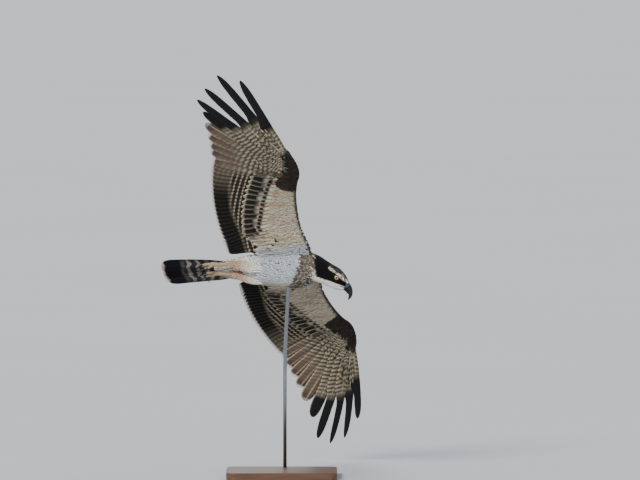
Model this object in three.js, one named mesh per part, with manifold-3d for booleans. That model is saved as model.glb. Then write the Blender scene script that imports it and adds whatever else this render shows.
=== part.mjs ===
// A life-size osprey banking in flight, wings spread, held by a plain display stand.
// Millimetres, +Z up. The origin is the centre of the underside of the stand's base.
// The bird is shaped in its own frame (X forward, Y to its left, Z to its back) and then banked.

import * as THREE from 'three';
import { mergeVertices } from 'three/addons/utils/BufferGeometryUtils.js';
import Module from 'manifold-3d';

const wasm = await Module();
wasm.setup();

// Attitude of the body, in degrees, and the height of the body's middle over the floor
const HEADING = -17.3;
const PITCH = 1.2;
const BANK = -44;
const BODY_HEIGHT = 565;
const BODY_OVER_BASE = { x: 22, y: -6 };

// The head stays level while the body banks, and looks down for fish
const HEAD_HEADING = -17;
const HEAD_PITCH = -34;
const HEAD_BANK = -6;
const HEAD_CENTRE = [121, 17, -17];

const GAP = 0.3;
const SKIN_SIDES = 18;

// Torso: distance forward of its middle, half width, height of the back, depth of the belly
const TORSO = [
  { x: -152, wide: 38, top: 12, under: 15.5 },
  { x: -128, wide: 43, top: 22, under: 25 },
  { x: -96, wide: 46, top: 31, under: 37 },
  { x: -60, wide: 48, top: 38, under: 45 },
  { x: -20, wide: 51, top: 43, under: 51 },
  { x: 18, wide: 52, top: 46, under: 52 },
  { x: 52, wide: 47, top: 45, under: 46 },
];

// Head: the same along its own axis, from the neck to the root of the bill
const HEAD = [
  { x: -38, wide: 31, top: 27, under: 38 },
  { x: -24, wide: 28, top: 28, under: 34 },
  { x: -8, wide: 26, top: 30, under: 28.5 },
  { x: 6, wide: 24, top: 30, under: 26.5 },
  { x: 18, wide: 21.3, top: 27.5, under: 24.5 },
  { x: 30, wide: 16.6, top: 22.8, under: 20 },
  { x: 38.5, wide: 12, top: 18, under: 15 },
  { x: 44.5, wide: 9.2, top: 14.4, under: 10.5 },
];
const NECK_RINGS = 5;

// Eyes, lids, mouth and nostrils, in the head's frame
const EYE = { x: 12, y: 14.7, z: 7, radius: 9 };
const LID = { ring: 6.9, thick: 1.7, forward: 0.3 };
const MOUTH_SLIT = { length: 17, height: 0.9, across: 60, drop: 0.22, z: -3.6 };
const NOSTRIL = { x: 49, y: 7.2, z: 8.4, long: 2.4, high: 1.1 };

// Upper and lower bill: middle of each ring, half width and half height
const BILL_UPPER = [
  { x: 44.8, z: 5.3, wide: 9, high: 8.7 },
  { x: 50.5, z: 4.5, wide: 8.1, high: 8.1 },
  { x: 57, z: 1.6, wide: 6.6, high: 7.1 },
  { x: 62.6, z: -3.2, wide: 5, high: 5.8 },
  { x: 66.4, z: -9.4, wide: 3.5, high: 4.3 },
  { x: 68.2, z: -16.6, wide: 2.1, high: 2.9 },
  { x: 67.6, z: -25.5, wide: 0.5, high: 0.6 },
];
const BILL_LOWER = [
  { x: 44.8, z: -6.8, wide: 7.6, high: 3.1 },
  { x: 50.5, z: -7.8, wide: 6.4, high: 3 },
  { x: 56.5, z: -9.4, wide: 4.6, high: 2.5 },
  { x: 61.6, z: -11.8, wide: 2.4, high: 1.4 },
];

// Wing: the left one is shaped, and mirrored for the right one; it is parted at the wrist
const WRIST_CUT = { at: [66, 302], along: [-198, 92], slab: 1600 };

// Leading edge and thickness of the fleshy wing, from the body out to the end of the hand
const WING_FLESH = [
  { y: 18, front: 66, back: -72, z: 12, drop: 6, thick: 24 },
  { y: 56, front: 69, back: -66, z: 21, drop: 9, thick: 22 },
  { y: 90, front: 63, back: -58, z: 28, drop: 11, thick: 20 },
  { y: 130, front: 57, back: -50, z: 35, drop: 12, thick: 18 },
  { y: 180, front: 58, back: -38, z: 43, drop: 13, thick: 16 },
  { y: 232, front: 64, back: -16, z: 52, drop: 13, thick: 14 },
  { y: 275, front: 75, back: 8, z: 59, drop: 12, thick: 13 },
  { y: 304, front: 87, back: 26, z: 65, drop: 10, thick: 12 },
  { y: 340, front: 92, back: 46, z: 65, drop: 7, thick: 10 },
  { y: 388, front: 86, back: 66, z: 63, drop: 3, thick: 6 },
];

// Section of the fleshy wing: share of the way back, and height as a share of the thickness
const WING_PROFILE = [
  [0, 0], [0.08, 0.34], [0.3, 0.5], [0.7, 0.42], [1, 0.24], [1, -0.24], [0.7, -0.4], [0.3, -0.46], [0.08, -0.34],
];

// Primaries from the innermost outwards: where each tip lies, and half widths of its two vanes
const PRIMARIES = [
  { tip: [-124, 413, 34], lead: 17, trail: 30, finger: 0 },
  { tip: [-120, 450, 33], lead: 17, trail: 25, finger: 0 },
  { tip: [-112, 484, 28], lead: 16, trail: 25, finger: 0 },
  { tip: [-105, 525, 23], lead: 16, trail: 24, finger: 0 },
  { tip: [-98, 573, 16], lead: 15, trail: 24, finger: 0 },
  { tip: [-88, 630, 5], lead: 14, trail: 24, finger: 0.2 },
  { tip: [-85, 698, -14], lead: 13, trail: 25, finger: 0.5 },
  { tip: [-58, 731, -5], lead: 12, trail: 25, finger: 0.6 },
  { tip: [-27, 746, 28], lead: 12, trail: 25, finger: 0.6 },
  { tip: [18, 695, 55], lead: 10, trail: 24, finger: 0.5 },
];
const PRIMARY_ROOTS = { from: [56, 306, 60], to: [78, 386, 63], sagFrom: 2, sagTo: -14 };
const SECONDARIES = { count: 15, lead: 19, trail: 23, sag: 5, rootsFrom: [48, 296, 57], rootsTo: [-30, 166, 34] };
const SECONDARY_TIPS = { from: 391, to: 118, hollow: -170, deepest: 165, rise: 37, reach: 226 };
const TERTIALS = {
  count: 4, lead: 17, trail: 22, sag: 4, rootsFrom: [-34, 150, 30], rootsTo: [-28, 78, 18], tipsFrom: 106, tipsTo: 74,
};
const TRAILING_HEIGHT = { z: 5, y: 77, slope: 0.091 };

// Greater coverts lie over the roots of the flight feathers, above and below
const COVERT_TIERS = [
  { side: 1, start: 0, share: 0.43, lift: 6 },
  { side: -1, start: 1, share: 0.47, lift: 6 },
];

// Tail: six feathers each side of the middle
const TAIL = {
  pairs: 6, root: -158, tip: -361, fan: 36, inner: 6.4, rootFan: 24, half: 16, middle: 11, z: -2, drop: -6, sag: 3,
};
const TAIL_ROOT = [
  { x: -152.3, wide: 38, top: 12, under: 15.5 },
  { x: -170, wide: 36, top: 9, under: 13 },
  { x: -190, wide: 32, top: 6, under: 10.5 },
  { x: -212, wide: 25, top: 3.2, under: 8 },
];

// A vane's outline along its length: share of the full half width at each place
const VANE_OUTLINE = [
  { at: 0, share: 0.3 },
  { at: 0.24, share: 0.92 },
  { at: 0.52, share: 1 },
  { at: 0.8, share: 0.9 },
  { at: 0.94, share: 0.56 },
  { at: 1, share: 0.14 },
];
const VANE_THICK = 0.6;
const VANE_STEP = 0.4;
const VANE_SPACING = 9;
const COVERT_OUTLINE = [
  { at: 0, share: 0.7 },
  { at: 0.8, share: 1 },
  { at: 1, share: 0.3 },
];

// Legs are folded back under the tail
const LEGS = [
  { side: 'left', hip: [-58, 16, -33], ankle: [-150, -5, -26], pad: [-197, -8.5, -23.5], spread: 1 },
  { side: 'right', hip: [-58, -28, -29], ankle: [-150, -44, -22], pad: [-197, -42.5, -21.5], spread: -1 },
];
const LEG = { thighTop: 18, thighEnd: 8, tarsusTop: 5.2, tarsusEnd: 5.4, pad: 7.2 };
const TOES = [
  { name: 'inner', aside: -0.2, down: 0.2, length: 24 },
  { name: 'middle', aside: 0.02, down: 0.08, length: 30 },
  { name: 'outer', aside: 0.24, down: 0.2, length: 26 },
  { name: 'hind', aside: 0.05, down: 0.95, length: 17 },
];
const TOE = { thick: 4.4, end: 3.1 };
const CLAW = { length: 24, thick: 2.9, curl: 1.5, rings: 5 };

// Stand: a flat base with one bent rod up to the bird's flank
const BASE = { long: 300, wide: 230, high: 20, corner: 26 };
const ROD = { thick: 10, sides: 12, x: 8, y: 92, bend: 330, inside: [-6, 4, 20] };

// Colours of feathers, horn, eye and stand
const COLOURS = {
  white: 0xe9e3d6, brown: 0x4a3b30, barred: 0x6d5f52, buff: 0xd9cbb4,
  bill: 0x24262a, claw: 0x1c1b1c, foot: 0x9aa39a, eye: 0xd8a021, base: 0x3a2c22, rod: 0x9b9da0,
};

const radians = THREE.MathUtils.degToRad;
const vec = (p) => new THREE.Vector3(p[0], p[1], p[2]);
const mix = THREE.MathUtils.lerp;
const mixed = (a, b, t) => a.clone().lerp(b, t);

// Turn a closed surface into a solid that can be joined and cut
function solidOf(geometry) {
  const plain = geometry.clone();
  plain.deleteAttribute('normal');
  plain.deleteAttribute('uv');
  const merged = mergeVertices(plain, 1e-4);
  return new wasm.Manifold(new wasm.Mesh({
    numProp: 3,
    vertProperties: new Float32Array(merged.attributes.position.array),
    triVerts: new Uint32Array(merged.index.array),
  }));
}

// Keep the largest closed surface of a solid and turn it back into a geometry
function geometryOf(solid) {
  const pieces = solid.decompose();
  const volumes = pieces.map((piece) => Math.abs(piece.volume()));
  const mesh = pieces[volumes.indexOf(Math.max(...volumes))].getMesh();
  const positions = new Float32Array(mesh.numVert * 3);
  for (let i = 0; i < mesh.numVert; i += 1) {
    for (let k = 0; k < 3; k += 1) positions[i * 3 + k] = mesh.vertProperties[i * mesh.numProp + k];
  }
  const geometry = new THREE.BufferGeometry();
  geometry.setAttribute('position', new THREE.BufferAttribute(positions, 3));
  geometry.setIndex(new THREE.BufferAttribute(new Uint32Array(mesh.triVerts), 1));
  return geometry;
}

const joined = (geometries) => geometries.map(solidOf).reduce((whole, next) => whole.add(next));

// A closed skin through rings of points, with a fan over each end
function skinThrough(rings) {
  const sides = rings[0].length;
  const positions = rings.flat().flatMap((p) => [p.x, p.y, p.z]);
  const faces = [];
  for (let r = 0; r < rings.length - 1; r += 1) {
    for (let s = 0; s < sides; s += 1) {
      const a = r * sides + s;
      const b = r * sides + ((s + 1) % sides);
      faces.push(a, b, b + sides, a, b + sides, a + sides);
    }
  }
  const last = (rings.length - 1) * sides;
  for (let s = 1; s < sides - 1; s += 1) {
    faces.push(0, s + 1, s);
    faces.push(last, last + s, last + s + 1);
  }
  const geometry = new THREE.BufferGeometry();
  geometry.setAttribute('position', new THREE.Float32BufferAttribute(positions, 3));
  geometry.setIndex(faces);
  return facingOut(geometry);
}

// Turn a closed surface round where its faces point in
function facingOut(geometry) {
  const p = geometry.attributes.position;
  const index = geometry.index.array;
  const [a, b, c] = [new THREE.Vector3(), new THREE.Vector3(), new THREE.Vector3()];
  let volume = 0;
  for (let i = 0; i < index.length; i += 3) {
    a.fromBufferAttribute(p, index[i]);
    b.fromBufferAttribute(p, index[i + 1]);
    c.fromBufferAttribute(p, index[i + 2]);
    volume += a.dot(b.cross(c));
  }
  if (volume < 0) {
    for (let i = 0; i < index.length; i += 3) {
      [index[i], index[i + 1]] = [index[i + 1], index[i]];
    }
  }
  return geometry;
}

// Rings of an egg-shaped section along X, smoothed between the named stations
function eggRings(stations, grow, steps) {
  const rings = [];
  const curve = new THREE.CatmullRomCurve3(stations.map((s) => new THREE.Vector3(s.x, s.wide, s.top)));
  const under = new THREE.CatmullRomCurve3(stations.map((s) => new THREE.Vector3(s.x, s.under, 0)));
  for (let i = 0; i <= steps; i += 1) {
    const section = curve.getPoint(i / steps);
    const depth = under.getPoint(i / steps).y + grow;
    const ring = [];
    for (let k = 0; k < SKIN_SIDES; k += 1) {
      const angle = (k / SKIN_SIDES) * 2 * Math.PI;
      const height = Math.sin(angle) > 0 ? section.z + grow : depth;
      ring.push(new THREE.Vector3(section.x, (section.y + grow) * Math.cos(angle), height * Math.sin(angle)));
    }
    rings.push(ring);
  }
  return rings;
}

// A round, tapering limb through middles and radii, its rings square to its course
function limb(middles, radii, sides, firstCourse = null) {
  const rings = middles.map((middle, i) => {
    const before = middles[Math.max(i - 1, 0)];
    const after = middles[Math.min(i + 1, middles.length - 1)];
    const course = i === 0 && firstCourse ? firstCourse : after.clone().sub(before).normalize();
    const across = new THREE.Vector3(0, 1, 0).addScaledVector(course, -course.y).normalize();
    const up = course.clone().cross(across);
    return Array.from({ length: sides }, (_, k) => {
      const angle = (k / sides) * 2 * Math.PI;
      return middle.clone()
        .addScaledVector(across, radii[i] * Math.cos(angle))
        .addScaledVector(up, radii[i] * Math.sin(angle));
    });
  });
  return skinThrough(rings);
}

// One feather: a thin tapering plate along a bent shaft, its leading vane raised over the next
function feather(shape) {
  const { root, tip, sag, normals, sides, lead, trail, tilt, thick, outline, finger = 0 } = shape;
  const rings = outline.map(({ at, share }) => {
    const normal = mixed(normals[0], normals[1], at).normalize();
    const course = tip.clone().sub(root).normalize();
    const side = mixed(sides[0], sides[1], at);
    side.addScaledVector(course, -side.dot(course)).normalize();
    const raised = side.clone().multiplyScalar(Math.cos(tilt)).addScaledVector(normal, Math.sin(tilt));
    const face = course.clone().cross(raised).normalize();
    const middle = mixed(root, tip, at).addScaledVector(normal, sag * 4 * at * (1 - at));
    const narrow = 1 - finger * THREE.MathUtils.smoothstep(at, 0.4, 0.62);
    const half = (thick / 2) * (at === 1 ? 0.5 : 1);
    const front = middle.clone().addScaledVector(raised, lead * share * (1 - finger * 0.25 * at));
    const back = middle.clone().addScaledVector(raised, -trail * share * narrow);
    return [
      front.clone().addScaledVector(face, half),
      back.clone().addScaledVector(face, half),
      back.clone().addScaledVector(face, -half),
      front.clone().addScaledVector(face, -half),
    ];
  });
  return plateThrough(rings);
}

// A closed plate through four-cornered rings, split alike on its two faces
function plateThrough(rings) {
  const positions = rings.flat().flatMap((p) => [p.x, p.y, p.z]);
  const faces = [];
  for (let r = 0; r < rings.length - 1; r += 1) {
    const near = r * 4;
    const far = near + 4;
    faces.push(near, near + 1, far, near + 1, far + 1, far);
    faces.push(near + 2, near + 3, far + 3, near + 2, far + 3, far + 2);
    faces.push(near + 1, near + 2, far + 2, near + 1, far + 2, far + 1);
    faces.push(near + 3, near, far, near + 3, far, far + 3);
  }
  const end = (rings.length - 1) * 4;
  faces.push(0, 2, 1, 0, 3, 2, end, end + 1, end + 2, end, end + 2, end + 3);
  const geometry = new THREE.BufferGeometry();
  geometry.setAttribute('position', new THREE.Float32BufferAttribute(positions, 3));
  geometry.setIndex(faces);
  return facingOut(geometry);
}

// Normal and sideways direction of a row of feathers at each end, from its neighbours
function rowFrame(feathers, i, end) {
  const before = feathers[Math.max(i - 1, 0)];
  const after = feathers[Math.min(i + 1, feathers.length - 1)];
  const side = after[end].clone().sub(before[end]).normalize();
  const course = feathers[i].tip.clone().sub(feathers[i].root).normalize();
  side.addScaledVector(course, -side.dot(course)).normalize();
  const normal = side.clone().cross(course);
  if (normal.z < 0) normal.negate();
  return { side, normal: normal.normalize() };
}

// All the flight feathers of the left wing, from the innermost tertial to the outermost primary
function flightFeathers() {
  const row = [];
  for (let i = TERTIALS.count - 1; i >= 0; i -= 1) {
    const t = i / (TERTIALS.count - 1);
    const y = mix(TERTIALS.tipsFrom, TERTIALS.tipsTo, t);
    row.push({
      kind: 'arm', root: mixed(vec(TERTIALS.rootsFrom), vec(TERTIALS.rootsTo), t),
      tip: new THREE.Vector3(trailingEdge(y), y, trailingHeight(y)),
      lead: TERTIALS.lead, trail: TERTIALS.trail, sag: TERTIALS.sag, finger: 0,
    });
  }
  for (let i = SECONDARIES.count - 1; i >= 0; i -= 1) {
    const t = i / (SECONDARIES.count - 1);
    const y = mix(SECONDARY_TIPS.from, SECONDARY_TIPS.to, t);
    row.push({
      kind: 'arm', root: mixed(vec(SECONDARIES.rootsFrom), vec(SECONDARIES.rootsTo), t),
      tip: new THREE.Vector3(trailingEdge(y), y, trailingHeight(y)),
      lead: SECONDARIES.lead, trail: SECONDARIES.trail, sag: SECONDARIES.sag, finger: 0,
    });
  }
  PRIMARIES.forEach(({ tip, lead, trail, finger }, i) => {
    const t = i / (PRIMARIES.length - 1);
    row.push({
      kind: 'hand', root: mixed(vec(PRIMARY_ROOTS.from), vec(PRIMARY_ROOTS.to), t),
      tip: vec(tip), lead, trail, sag: mix(PRIMARY_ROOTS.sagFrom, PRIMARY_ROOTS.sagTo, t), finger,
    });
  });
  return row;
}

const trailingEdge = (y) => SECONDARY_TIPS.hollow
  + SECONDARY_TIPS.rise * ((y - SECONDARY_TIPS.deepest) / SECONDARY_TIPS.reach) ** 2;
const trailingHeight = (y) => TRAILING_HEIGHT.z + TRAILING_HEIGHT.slope * (y - TRAILING_HEIGHT.y);

// A tilt that lifts each vane clear of the next one where their roots stand this far apart
const louvre = (spacing) => Math.atan((VANE_THICK + VANE_STEP) / spacing);

// The fleshy part of the wing: a blunt aerofoil from inside the shoulder to the end of the hand
function wingFlesh() {
  const rings = WING_FLESH.map(({ y, front, back, z, drop, thick }) => WING_PROFILE.map(([along, high]) => (
    new THREE.Vector3(mix(front, back, along), y, z - drop * along + thick * high)
  )));
  return skinThrough(rings);
}

// The whole left wing as plates and flesh, in one list for each of its two nodes
function wingPieces() {
  const row = flightFeathers();
  const pieces = { arm: [], hand: [] };
  row.forEach((one, i) => {
    const atRoot = rowFrame(row, i, 'root');
    const atTip = rowFrame(row, i, 'tip');
    const spacing = row[Math.min(i + 1, row.length - 1)].root.distanceTo(row[Math.max(i - 1, 0)].root) / 2;
    const shape = {
      ...one, normals: [atRoot.normal, atTip.normal], sides: [atRoot.side, atTip.side],
      tilt: louvre(Math.min(spacing, VANE_SPACING)), thick: VANE_THICK, outline: VANE_OUTLINE,
    };
    pieces[one.kind].push(feather(shape));
    COVERT_TIERS.filter(({ start }) => i % 2 === start).forEach(({ side, share, lift }) => {
      pieces[one.kind].push(covert(shape, side, share, lift));
    });
  });
  return pieces;
}

// A greater covert over the root of one flight feather
function covert(shape, side, share, lift) {
  const normal = shape.normals[0].clone();
  const away = normal.clone().multiplyScalar(side * lift);
  const start = mixed(shape.root, shape.tip, -0.06).add(away.clone().multiplyScalar(0.5));
  const long = Math.min(share, 96 / shape.root.distanceTo(shape.tip));
  const finish = mixed(shape.root, shape.tip, long).add(away);
  return feather({
    ...shape, root: start, tip: finish, sag: shape.sag * 0.6, finger: 0,
    lead: shape.lead * 0.74, trail: shape.trail * 0.62, outline: COVERT_OUTLINE,
  });
}

// A big slab that covers one side of the upright plane through the wrist
function wristSlab(side, gap) {
  const along = new THREE.Vector3(WRIST_CUT.along[0], WRIST_CUT.along[1], 0).normalize();
  const across = new THREE.Vector3(along.y, -along.x, 0).multiplyScalar(side);
  const size = WRIST_CUT.slab;
  const slab = new THREE.BoxGeometry(size, size, size);
  const turn = new THREE.Matrix4().makeBasis(along, across, new THREE.Vector3().crossVectors(along, across));
  const middle = new THREE.Vector3(WRIST_CUT.at[0], WRIST_CUT.at[1], 0)
    .addScaledVector(across, size / 2 + gap / 2);
  slab.applyMatrix4(turn.setPosition(middle));
  slab.deleteAttribute('normal');
  slab.deleteAttribute('uv');
  return facingOut(mergeVertices(slab));
}

// Mirror a solid geometry across the bird's middle plane
function mirrored(geometry) {
  const copy = geometry.clone();
  copy.applyMatrix4(new THREE.Matrix4().makeScale(1, -1, 1));
  return facingOut(copy);
}

// Arm and hand of the left wing, cut at the wrist and clear of the torso and the neck
function wingNodes(bodies) {
  const pieces = wingPieces();
  const flesh = solidOf(wingFlesh());
  const armHalf = solidOf(wristSlab(-1, GAP));
  const handHalf = solidOf(wristSlab(1, GAP));
  const arm = bodies.reduce((rest, body) => rest.subtract(body), joined(pieces.arm).add(flesh).intersect(armHalf));
  const hand = joined(pieces.hand).add(flesh).intersect(handHalf);
  return { arm: geometryOf(arm), hand: geometryOf(hand) };
}

// Tail: a short fleshy root with the fan of feathers sunk into it
function tailGeometry() {
  const sides = [-1, 1];
  const root = skinThrough(eggRings(TAIL_ROOT, 0, 6));
  const plates = sides.flatMap((side) => Array.from({ length: TAIL.pairs }, (_, i) => {
    const t = i / (TAIL.pairs - 1);
    const shaft = {
      root: new THREE.Vector3(TAIL.root, side * mix(TAIL.inner, TAIL.rootFan, t), TAIL.z - i * 0.5),
      tip: new THREE.Vector3(TAIL.tip + 9 * t * t, side * mix(TAIL.inner, TAIL.fan, t), TAIL.z + TAIL.drop - i * 0.9),
    };
    const out = new THREE.Vector3(0, side, 0);
    const up = new THREE.Vector3(0, 0, 1);
    return feather({
      ...shaft, normals: [up, up], sides: [out, out], sag: TAIL.sag, tilt: louvre(VANE_SPACING),
      lead: TAIL.half, trail: i === 0 ? TAIL.middle : TAIL.half, thick: VANE_THICK, outline: VANE_OUTLINE,
    });
  }));
  return geometryOf(joined(plates).add(solidOf(root)));
}

// The neck bridges the flat front of the torso and the flat back of the head
function neckGeometry(headPlace, grow) {
  const torsoEnd = eggRings(TORSO, grow, 14)[14];
  const headEnd = eggRings(HEAD, grow, 12)[0].map((p) => p.clone().setX(p.x - GAP).applyMatrix4(headPlace));
  const rings = Array.from({ length: NECK_RINGS + 1 }, (_, i) => {
    const t = i / NECK_RINGS;
    const waist = 1 + 0.03 * Math.sin(Math.PI * t);
    const centre = mixed(middleOf(torsoEnd), middleOf(headEnd), t);
    return torsoEnd.map((p, k) => mixed(p, headEnd[k], t).sub(centre).multiplyScalar(waist).add(centre));
  });
  rings[0].forEach((p) => p.setX(p.x + GAP));
  return skinThrough(rings);
}

const middleOf = (ring) => ring.reduce((sum, p) => sum.add(p), new THREE.Vector3()).divideScalar(ring.length);

// Lids stand round each eye, the socket holds it, and a slit is the corner of the mouth
function headGeometry() {
  let head = solidOf(skinThrough(eggRings(HEAD, 0, 12)));
  [-1, 1].forEach((side) => {
    const lid = new THREE.TorusGeometry(LID.ring, LID.thick, 6, 14);
    lid.rotateX(Math.PI / 2);
    lid.rotateZ(-side * LID.forward);
    lid.translate(EYE.x, side * (EYE.y + 6.4), EYE.z);
    head = head.add(solidOf(lid));
    head = head.subtract(solidOf(eyeball(side, GAP)));
  });
  const slit = new THREE.BoxGeometry(MOUTH_SLIT.length, MOUTH_SLIT.across, MOUTH_SLIT.height);
  slit.rotateY(MOUTH_SLIT.drop);
  slit.translate(HEAD.at(-1).x - MOUTH_SLIT.length / 2 + 1, 0, MOUTH_SLIT.z);
  return geometryOf(head.subtract(solidOf(slit)));
}

// An eyeball on one side of the head, grown where it cuts its socket
function eyeball(side, grow) {
  const ball = new THREE.SphereGeometry(EYE.radius + grow, 14, 10);
  ball.translate(EYE.x, side * EYE.y, EYE.z);
  return ball;
}

// A bill half along its bent middle line
function billHalf(stations, grow) {
  const course = new THREE.CatmullRomCurve3(stations.map((s) => new THREE.Vector3(s.x, 0, s.z)));
  const size = new THREE.CatmullRomCurve3(stations.map((s, i) => new THREE.Vector3(i, s.wide + grow, s.high + grow)));
  const steps = 8;
  const rings = Array.from({ length: steps + 1 }, (_, i) => {
    const t = i / steps;
    const middle = course.getPoint(t);
    const ahead = i === 0 ? new THREE.Vector3(1, 0, 0) : course.getTangent(t);
    const up = new THREE.Vector3(-ahead.z, 0, ahead.x);
    const { y: wide, z: high } = size.getPoint(t);
    return Array.from({ length: 12 }, (_, k) => {
      const angle = (k / 12) * 2 * Math.PI;
      return middle.clone().add(new THREE.Vector3(0, wide * Math.cos(angle), 0))
        .addScaledVector(up, high * Math.sin(angle));
    });
  });
  return skinThrough(rings);
}

// The upper bill with its two nostrils
function upperBill() {
  let bill = solidOf(billHalf(BILL_UPPER, 0));
  [-1, 1].forEach((side) => {
    const hole = new THREE.SphereGeometry(1, 8, 6);
    hole.scale(NOSTRIL.long, 2, NOSTRIL.high);
    hole.rotateY(0.7);
    hole.translate(NOSTRIL.x, side * NOSTRIL.y, NOSTRIL.z);
    bill = bill.subtract(solidOf(hole));
  });
  return geometryOf(bill);
}

const lowerBill = () => geometryOf(solidOf(billHalf(BILL_LOWER, 0)).subtract(solidOf(billHalf(BILL_UPPER, GAP))));

// Feathered thigh, scaly tarsus, foot and claws of one leg
function legGeometries(leg, bodies) {
  const [hip, ankle, pad] = [vec(leg.hip), vec(leg.ankle), vec(leg.pad)];
  const knees = [0, 0.25, 0.5, 0.75, 0.9, 1].map((t) => mixed(hip, ankle, t));
  const girth = [LEG.thighTop * 0.9, LEG.thighTop, LEG.thighTop * 0.84, LEG.thighTop * 0.6, LEG.thighEnd * 1.2, LEG.thighEnd];
  const thigh = bodies.reduce((rest, body) => rest.subtract(body), solidOf(limb(knees, girth, 14)));
  const course = pad.clone().sub(ankle).normalize();
  const thighCourse = ankle.clone().sub(hip).normalize();
  const start = ankle.clone().addScaledVector(thighCourse, GAP);
  const shins = [0, 0.12, 0.5, 0.9, 1].map((t) => mixed(start, pad, t));
  const shinGirth = [LEG.tarsusTop, LEG.tarsusTop, 4.6, LEG.tarsusEnd, LEG.tarsusEnd];
  const tarsus = limb(shins, shinGirth, 10, thighCourse);
  return { thigh: geometryOf(thigh), tarsus, ...footGeometries(leg, pad.addScaledVector(course, GAP), course) };
}

// A pad with four toes, and a hooked claw off the flat end of each toe
function footGeometries(leg, pad, course) {
  const across = new THREE.Vector3(0, leg.spread, 0);
  const down = new THREE.Vector3(0, 0, -1);
  const palmMiddles = [0, 4, 11, 15].map((along) => pad.clone().addScaledVector(course, along));
  const palm = limb(palmMiddles, [LEG.tarsusEnd, LEG.pad, LEG.pad * 0.95, LEG.tarsusEnd], 10, course);
  const claws = [];
  const toes = TOES.map(({ name, aside, down: sink, length }) => {
    const way = course.clone().addScaledVector(across, aside).addScaledVector(down, sink).normalize();
    const root = pad.clone().addScaledVector(course, name === 'hind' ? 5 : 8).addScaledVector(across, aside * 8);
    const middles = [0, 0.35, 0.7, 1].map((t) => root.clone().addScaledVector(way, t * length)
      .addScaledVector(down, 2.2 * t * t));
    claws.push({ name, geometry: claw(middles.at(-1), middles.at(-1).clone().sub(middles.at(-2)).normalize()) });
    return limb(middles, [TOE.thick, TOE.thick * 0.9, TOE.thick * 0.86, TOE.end], 6);
  });
  return { foot: geometryOf(joined([palm, ...toes])), claws };
}

// A claw curls down from the end of its toe
function claw(start, way) {
  const down = new THREE.Vector3(0, 0, -1).addScaledVector(way, way.z).normalize();
  const radius = CLAW.length / CLAW.curl;
  const root = start.clone().addScaledVector(way, GAP);
  const steps = Array.from({ length: CLAW.rings }, (_, i) => i / (CLAW.rings - 1));
  const middles = steps.map((t) => root.clone()
    .addScaledVector(way, radius * Math.sin(t * CLAW.curl))
    .addScaledVector(down, radius * (1 - Math.cos(t * CLAW.curl))));
  return limb(middles, steps.map((t) => CLAW.thick * (1 - 0.88 * t)), 6, way);
}

// The stand's base: a slab with round corners
function baseGeometry() {
  const [a, b, r] = [BASE.long / 2, BASE.wide / 2, BASE.corner];
  const outline = new THREE.Shape();
  outline.moveTo(-a + r, -b);
  outline.lineTo(a - r, -b);
  outline.absarc(a - r, -b + r, r, -Math.PI / 2, 0);
  outline.absarc(a - r, b - r, r, 0, Math.PI / 2);
  outline.absarc(-a + r, b - r, r, Math.PI / 2, Math.PI);
  outline.absarc(-a + r, -b + r, r, Math.PI, 1.5 * Math.PI);
  return new THREE.ExtrudeGeometry(outline, { depth: BASE.high, bevelEnabled: false, curveSegments: 6 });
}

// The rod rises under the lowered wing and bends in to the bird's flank
function rodGeometry(birdPlace, grownTorso) {
  const end = vec(ROD.inside).applyMatrix4(birdPlace);
  const foot = new THREE.Vector3(ROD.x, ROD.y, BASE.high + GAP);
  const knee = new THREE.Vector3(ROD.x, ROD.y, ROD.bend);
  const bend = new THREE.QuadraticBezierCurve3(mixed(knee, foot, 0.2), knee, mixed(knee, end, 0.35));
  const middles = [foot, ...bend.getPoints(7), mixed(knee, end, 0.7), end];
  const rod = limb(middles, middles.map(() => ROD.thick / 2), ROD.sides);
  return geometryOf(solidOf(rod).subtract(solidOf(grownTorso.clone().applyMatrix4(birdPlace))));
}

// A named node with its own finish
function node(parent, name, geometry, colour, roughness = 0.85, metalness = 0) {
  const material = new THREE.MeshStandardMaterial({ color: colour, roughness, metalness });
  const mesh = new THREE.Mesh(geometry, material);
  mesh.name = name;
  parent.add(mesh);
}

const osprey = new THREE.Group();
const bird = new THREE.Group();
bird.rotation.set(radians(BANK), radians(-PITCH), radians(HEADING), 'ZYX');
bird.position.set(BODY_OVER_BASE.x, BODY_OVER_BASE.y, BODY_HEIGHT);
osprey.add(bird);
bird.updateMatrixWorld(true);

const head = new THREE.Group();
const headTurn = new THREE.Matrix4().makeRotationFromEuler(
  new THREE.Euler(radians(HEAD_BANK), radians(-HEAD_PITCH), radians(HEAD_HEADING), 'ZYX'),
);
const birdTurn = new THREE.Matrix4().extractRotation(bird.matrixWorld);
head.quaternion.setFromRotationMatrix(birdTurn.clone().transpose().multiply(headTurn));
head.position.set(...HEAD_CENTRE);
bird.add(head);
head.updateMatrix();

const torso = skinThrough(eggRings(TORSO, 0, 14));
const grownTorso = skinThrough(eggRings(TORSO, GAP, 14));
const neck = neckGeometry(head.matrix, 0);
const wingNeighbours = [grownTorso, neckGeometry(head.matrix, 2 * GAP)];
const leftWing = wingNodes(wingNeighbours.map(solidOf));
const rightWing = wingNodes(wingNeighbours.map(mirrored).map(solidOf));

node(bird, 'torso', torso, COLOURS.white);
node(bird, 'neck', neck, COLOURS.white);
node(bird, 'tail', tailGeometry(), COLOURS.barred);
node(bird, 'wing_left_arm', leftWing.arm, COLOURS.buff);
node(bird, 'wing_left_hand', leftWing.hand, COLOURS.brown);
node(bird, 'wing_right_arm', mirrored(rightWing.arm), COLOURS.buff);
node(bird, 'wing_right_hand', mirrored(rightWing.hand), COLOURS.brown);

node(head, 'head', headGeometry(), COLOURS.white);
node(head, 'bill_upper', upperBill(), COLOURS.bill, 0.4);
node(head, 'bill_lower', lowerBill(), COLOURS.bill, 0.4);
node(head, 'eye_left', eyeball(1, 0), COLOURS.eye, 0.15);
node(head, 'eye_right', eyeball(-1, 0), COLOURS.eye, 0.15);

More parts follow.
